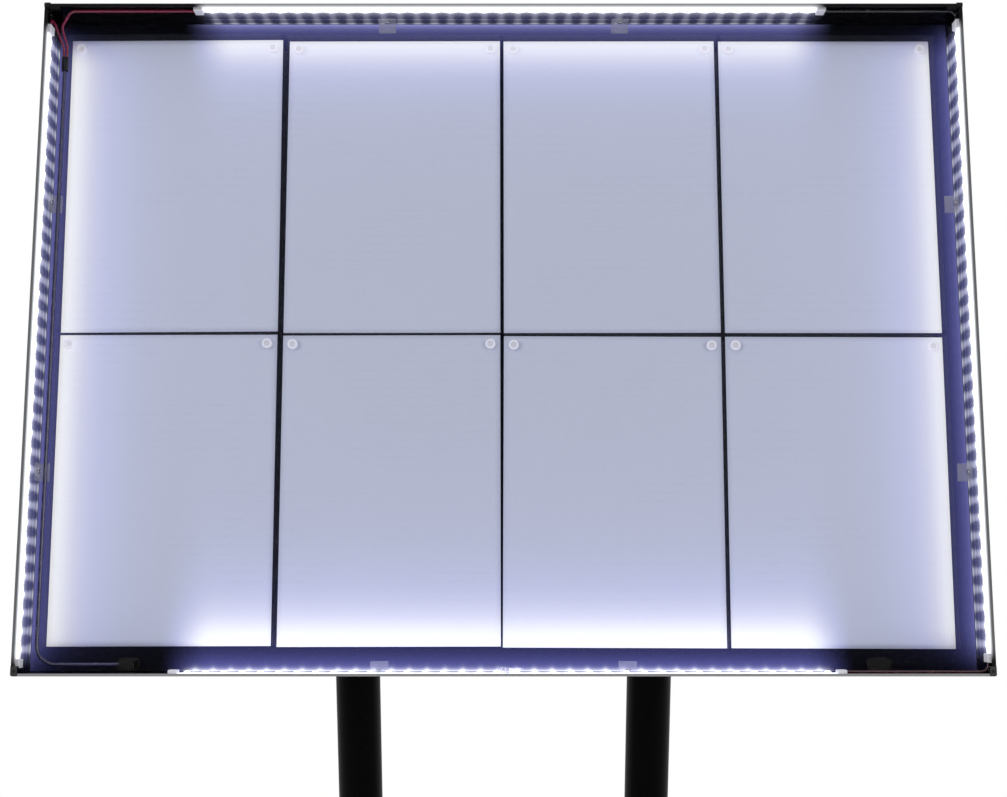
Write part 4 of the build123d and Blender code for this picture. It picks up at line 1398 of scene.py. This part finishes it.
class DISPLAYCASE_OT_stage(bpy.types.Operator):
    """Sets up the camera, the floor, the lamps and the white surroundings"""

    bl_idname = "display_case.stage"
    bl_label = "Stage"

    def execute(self, context):
        stage = context.scene.case_stage
        scene = context.scene
        scene.view_settings.view_transform = "Standard"
        camera_data = bpy.data.cameras.new("camera")
        camera_data.lens = stage.lens
        camera_data.sensor_width = stage.sensor
        camera_data.shift_y = stage.shift
        camera = place_object("camera", camera_data)
        camera.location = (0.0, -stage.distance, stage.height)
        camera.rotation_euler = (math.pi / 2 - stage.pitch, 0.0, 0.0)
        scene.camera = camera

        world = bpy.data.worlds.new("white surroundings")
        tree = fresh_tree(world)
        path = add(tree, "LightPath").outputs
        seen = calc(tree, "MAXIMUM", path["Is Camera Ray"], path["Is Glossy Ray"])
        seen = calc(tree, "MAXIMUM", seen, path["Is Transmission Ray"])
        strength = ease(tree, seen, 0.0, 1.0, stage.world_strength, 1.0)
        sky = add(tree, "Background", {"Color": (1.0, 1.0, 1.0, 1.0), "Strength": strength})
        tree.links.new(sky.outputs["Background"], add(tree, "OutputWorld").inputs["Surface"])
        scene.world = world

        floor = bmesh.new()
        bmesh.ops.create_circle(floor, cap_ends=True, radius=stage.floor_radius, segments=FLOOR_SIDES)
        mesh = bpy.data.meshes.new("floor")
        floor.to_mesh(mesh)
        floor.free()
        mesh.materials.append(floor_finish(stage))
        ground = place_object("floor", mesh)

        aim = Vector((0.0, 0.0, cad_box[1].z * AIM_HEIGHT))
        for name, power, place, size in (
            ("key lamp", stage.key_power, KEY_PLACE, stage.key_size),
            ("fill lamp", stage.fill_power, FILL_PLACE, stage.fill_size),
        ):
            lamp_data = bpy.data.lights.new(name, "AREA")
            lamp_data.energy = power
            lamp_data.size = size
            lamp = place_object(name, lamp_data)
            lamp.location = place
            lamp.rotation_euler = (aim - place).to_track_quat("-Z", "Y").to_euler()
        return {"FINISHED"}


def floor_finish(stage):
    """Pale floor that fades into the white surroundings at its rim."""
    material = bpy.data.materials.new("pale_floor")
    tree = fresh_tree(material)
    position = object_place(tree)
    reach = add(tree, "VectorMath", {0: position}, operation="LENGTH").outputs["Value"]
    cloud = rough_noise(tree, position, FLOOR_CLOUD_SCALE, detail=3.0)
    pale = add(tree, "BsdfDiffuse")
    tree.links.new(mix_colours(tree, cloud, *FLOOR_SHADES), pale.inputs["Color"])
    clear = add(tree, "BsdfTransparent")
    rim = ease(tree, reach, stage.floor_radius * FLOOR_FADE, stage.floor_radius, 0.0, 1.0)
    mix = add(tree, "MixShader", {0: rim})
    tree.links.new(pale.outputs["BSDF"], mix.inputs[1])
    tree.links.new(clear.outputs["BSDF"], mix.inputs[2])
    tree.links.new(mix.outputs["Shader"], add(tree, "OutputMaterial").inputs["Surface"])
    return material


class DISPLAYCASE_PT_sidebar(bpy.types.Panel):
    """Lists the steps that dress the display case"""

    bl_idname = "DISPLAYCASE_PT_sidebar"
    bl_label = "Display Case"
    bl_space_type = "VIEW_3D"
    bl_region_type = "UI"
    bl_category = "Display Case"

    def draw(self, context):
        for step in STEPS:
            self.layout.operator(step.bl_idname)
        for group in GROUPS:
            settings = getattr(context.scene, group)
            for name in settings.bl_rna.properties.keys():
                if name not in ("rna_type", "name"):
                    self.layout.prop(settings, name)


STEPS = (
    DISPLAYCASE_OT_groups,
    DISPLAYCASE_OT_shell,
    DISPLAYCASE_OT_strips,
    DISPLAYCASE_OT_wiring,
    DISPLAYCASE_OT_sheets,
    DISPLAYCASE_OT_door,
    DISPLAYCASE_OT_lock,
    DISPLAYCASE_OT_stand,
    DISPLAYCASE_OT_fasteners,
    DISPLAYCASE_OT_stage,
)
GROUPS = {
    "case_colours": CaseColours,
    "case_light": CaseLight,
    "case_sizes": CaseSizes,
    "case_stage": CaseStage,
}


def register():
    """Adds the settings, the steps and the sidebar."""
    for name, group in GROUPS.items():
        bpy.utils.register_class(group)
        setattr(bpy.types.Scene, name, PointerProperty(type=group))
    for step in STEPS:
        bpy.utils.register_class(step)
    bpy.utils.register_class(DISPLAYCASE_PT_sidebar)


def unregister():
    """Takes the sidebar, the steps and the settings away."""
    bpy.utils.unregister_class(DISPLAYCASE_PT_sidebar)
    for step in reversed(STEPS):
        bpy.utils.unregister_class(step)
    for name, group in GROUPS.items():
        delattr(bpy.types.Scene, name)
        bpy.utils.unregister_class(group)


def main():
    """Runs all steps."""
    register()
    for step in STEPS:
        family, action = step.bl_idname.split(".")
        getattr(getattr(bpy.ops, family), action)()


if __name__ == "__main__":
    main()
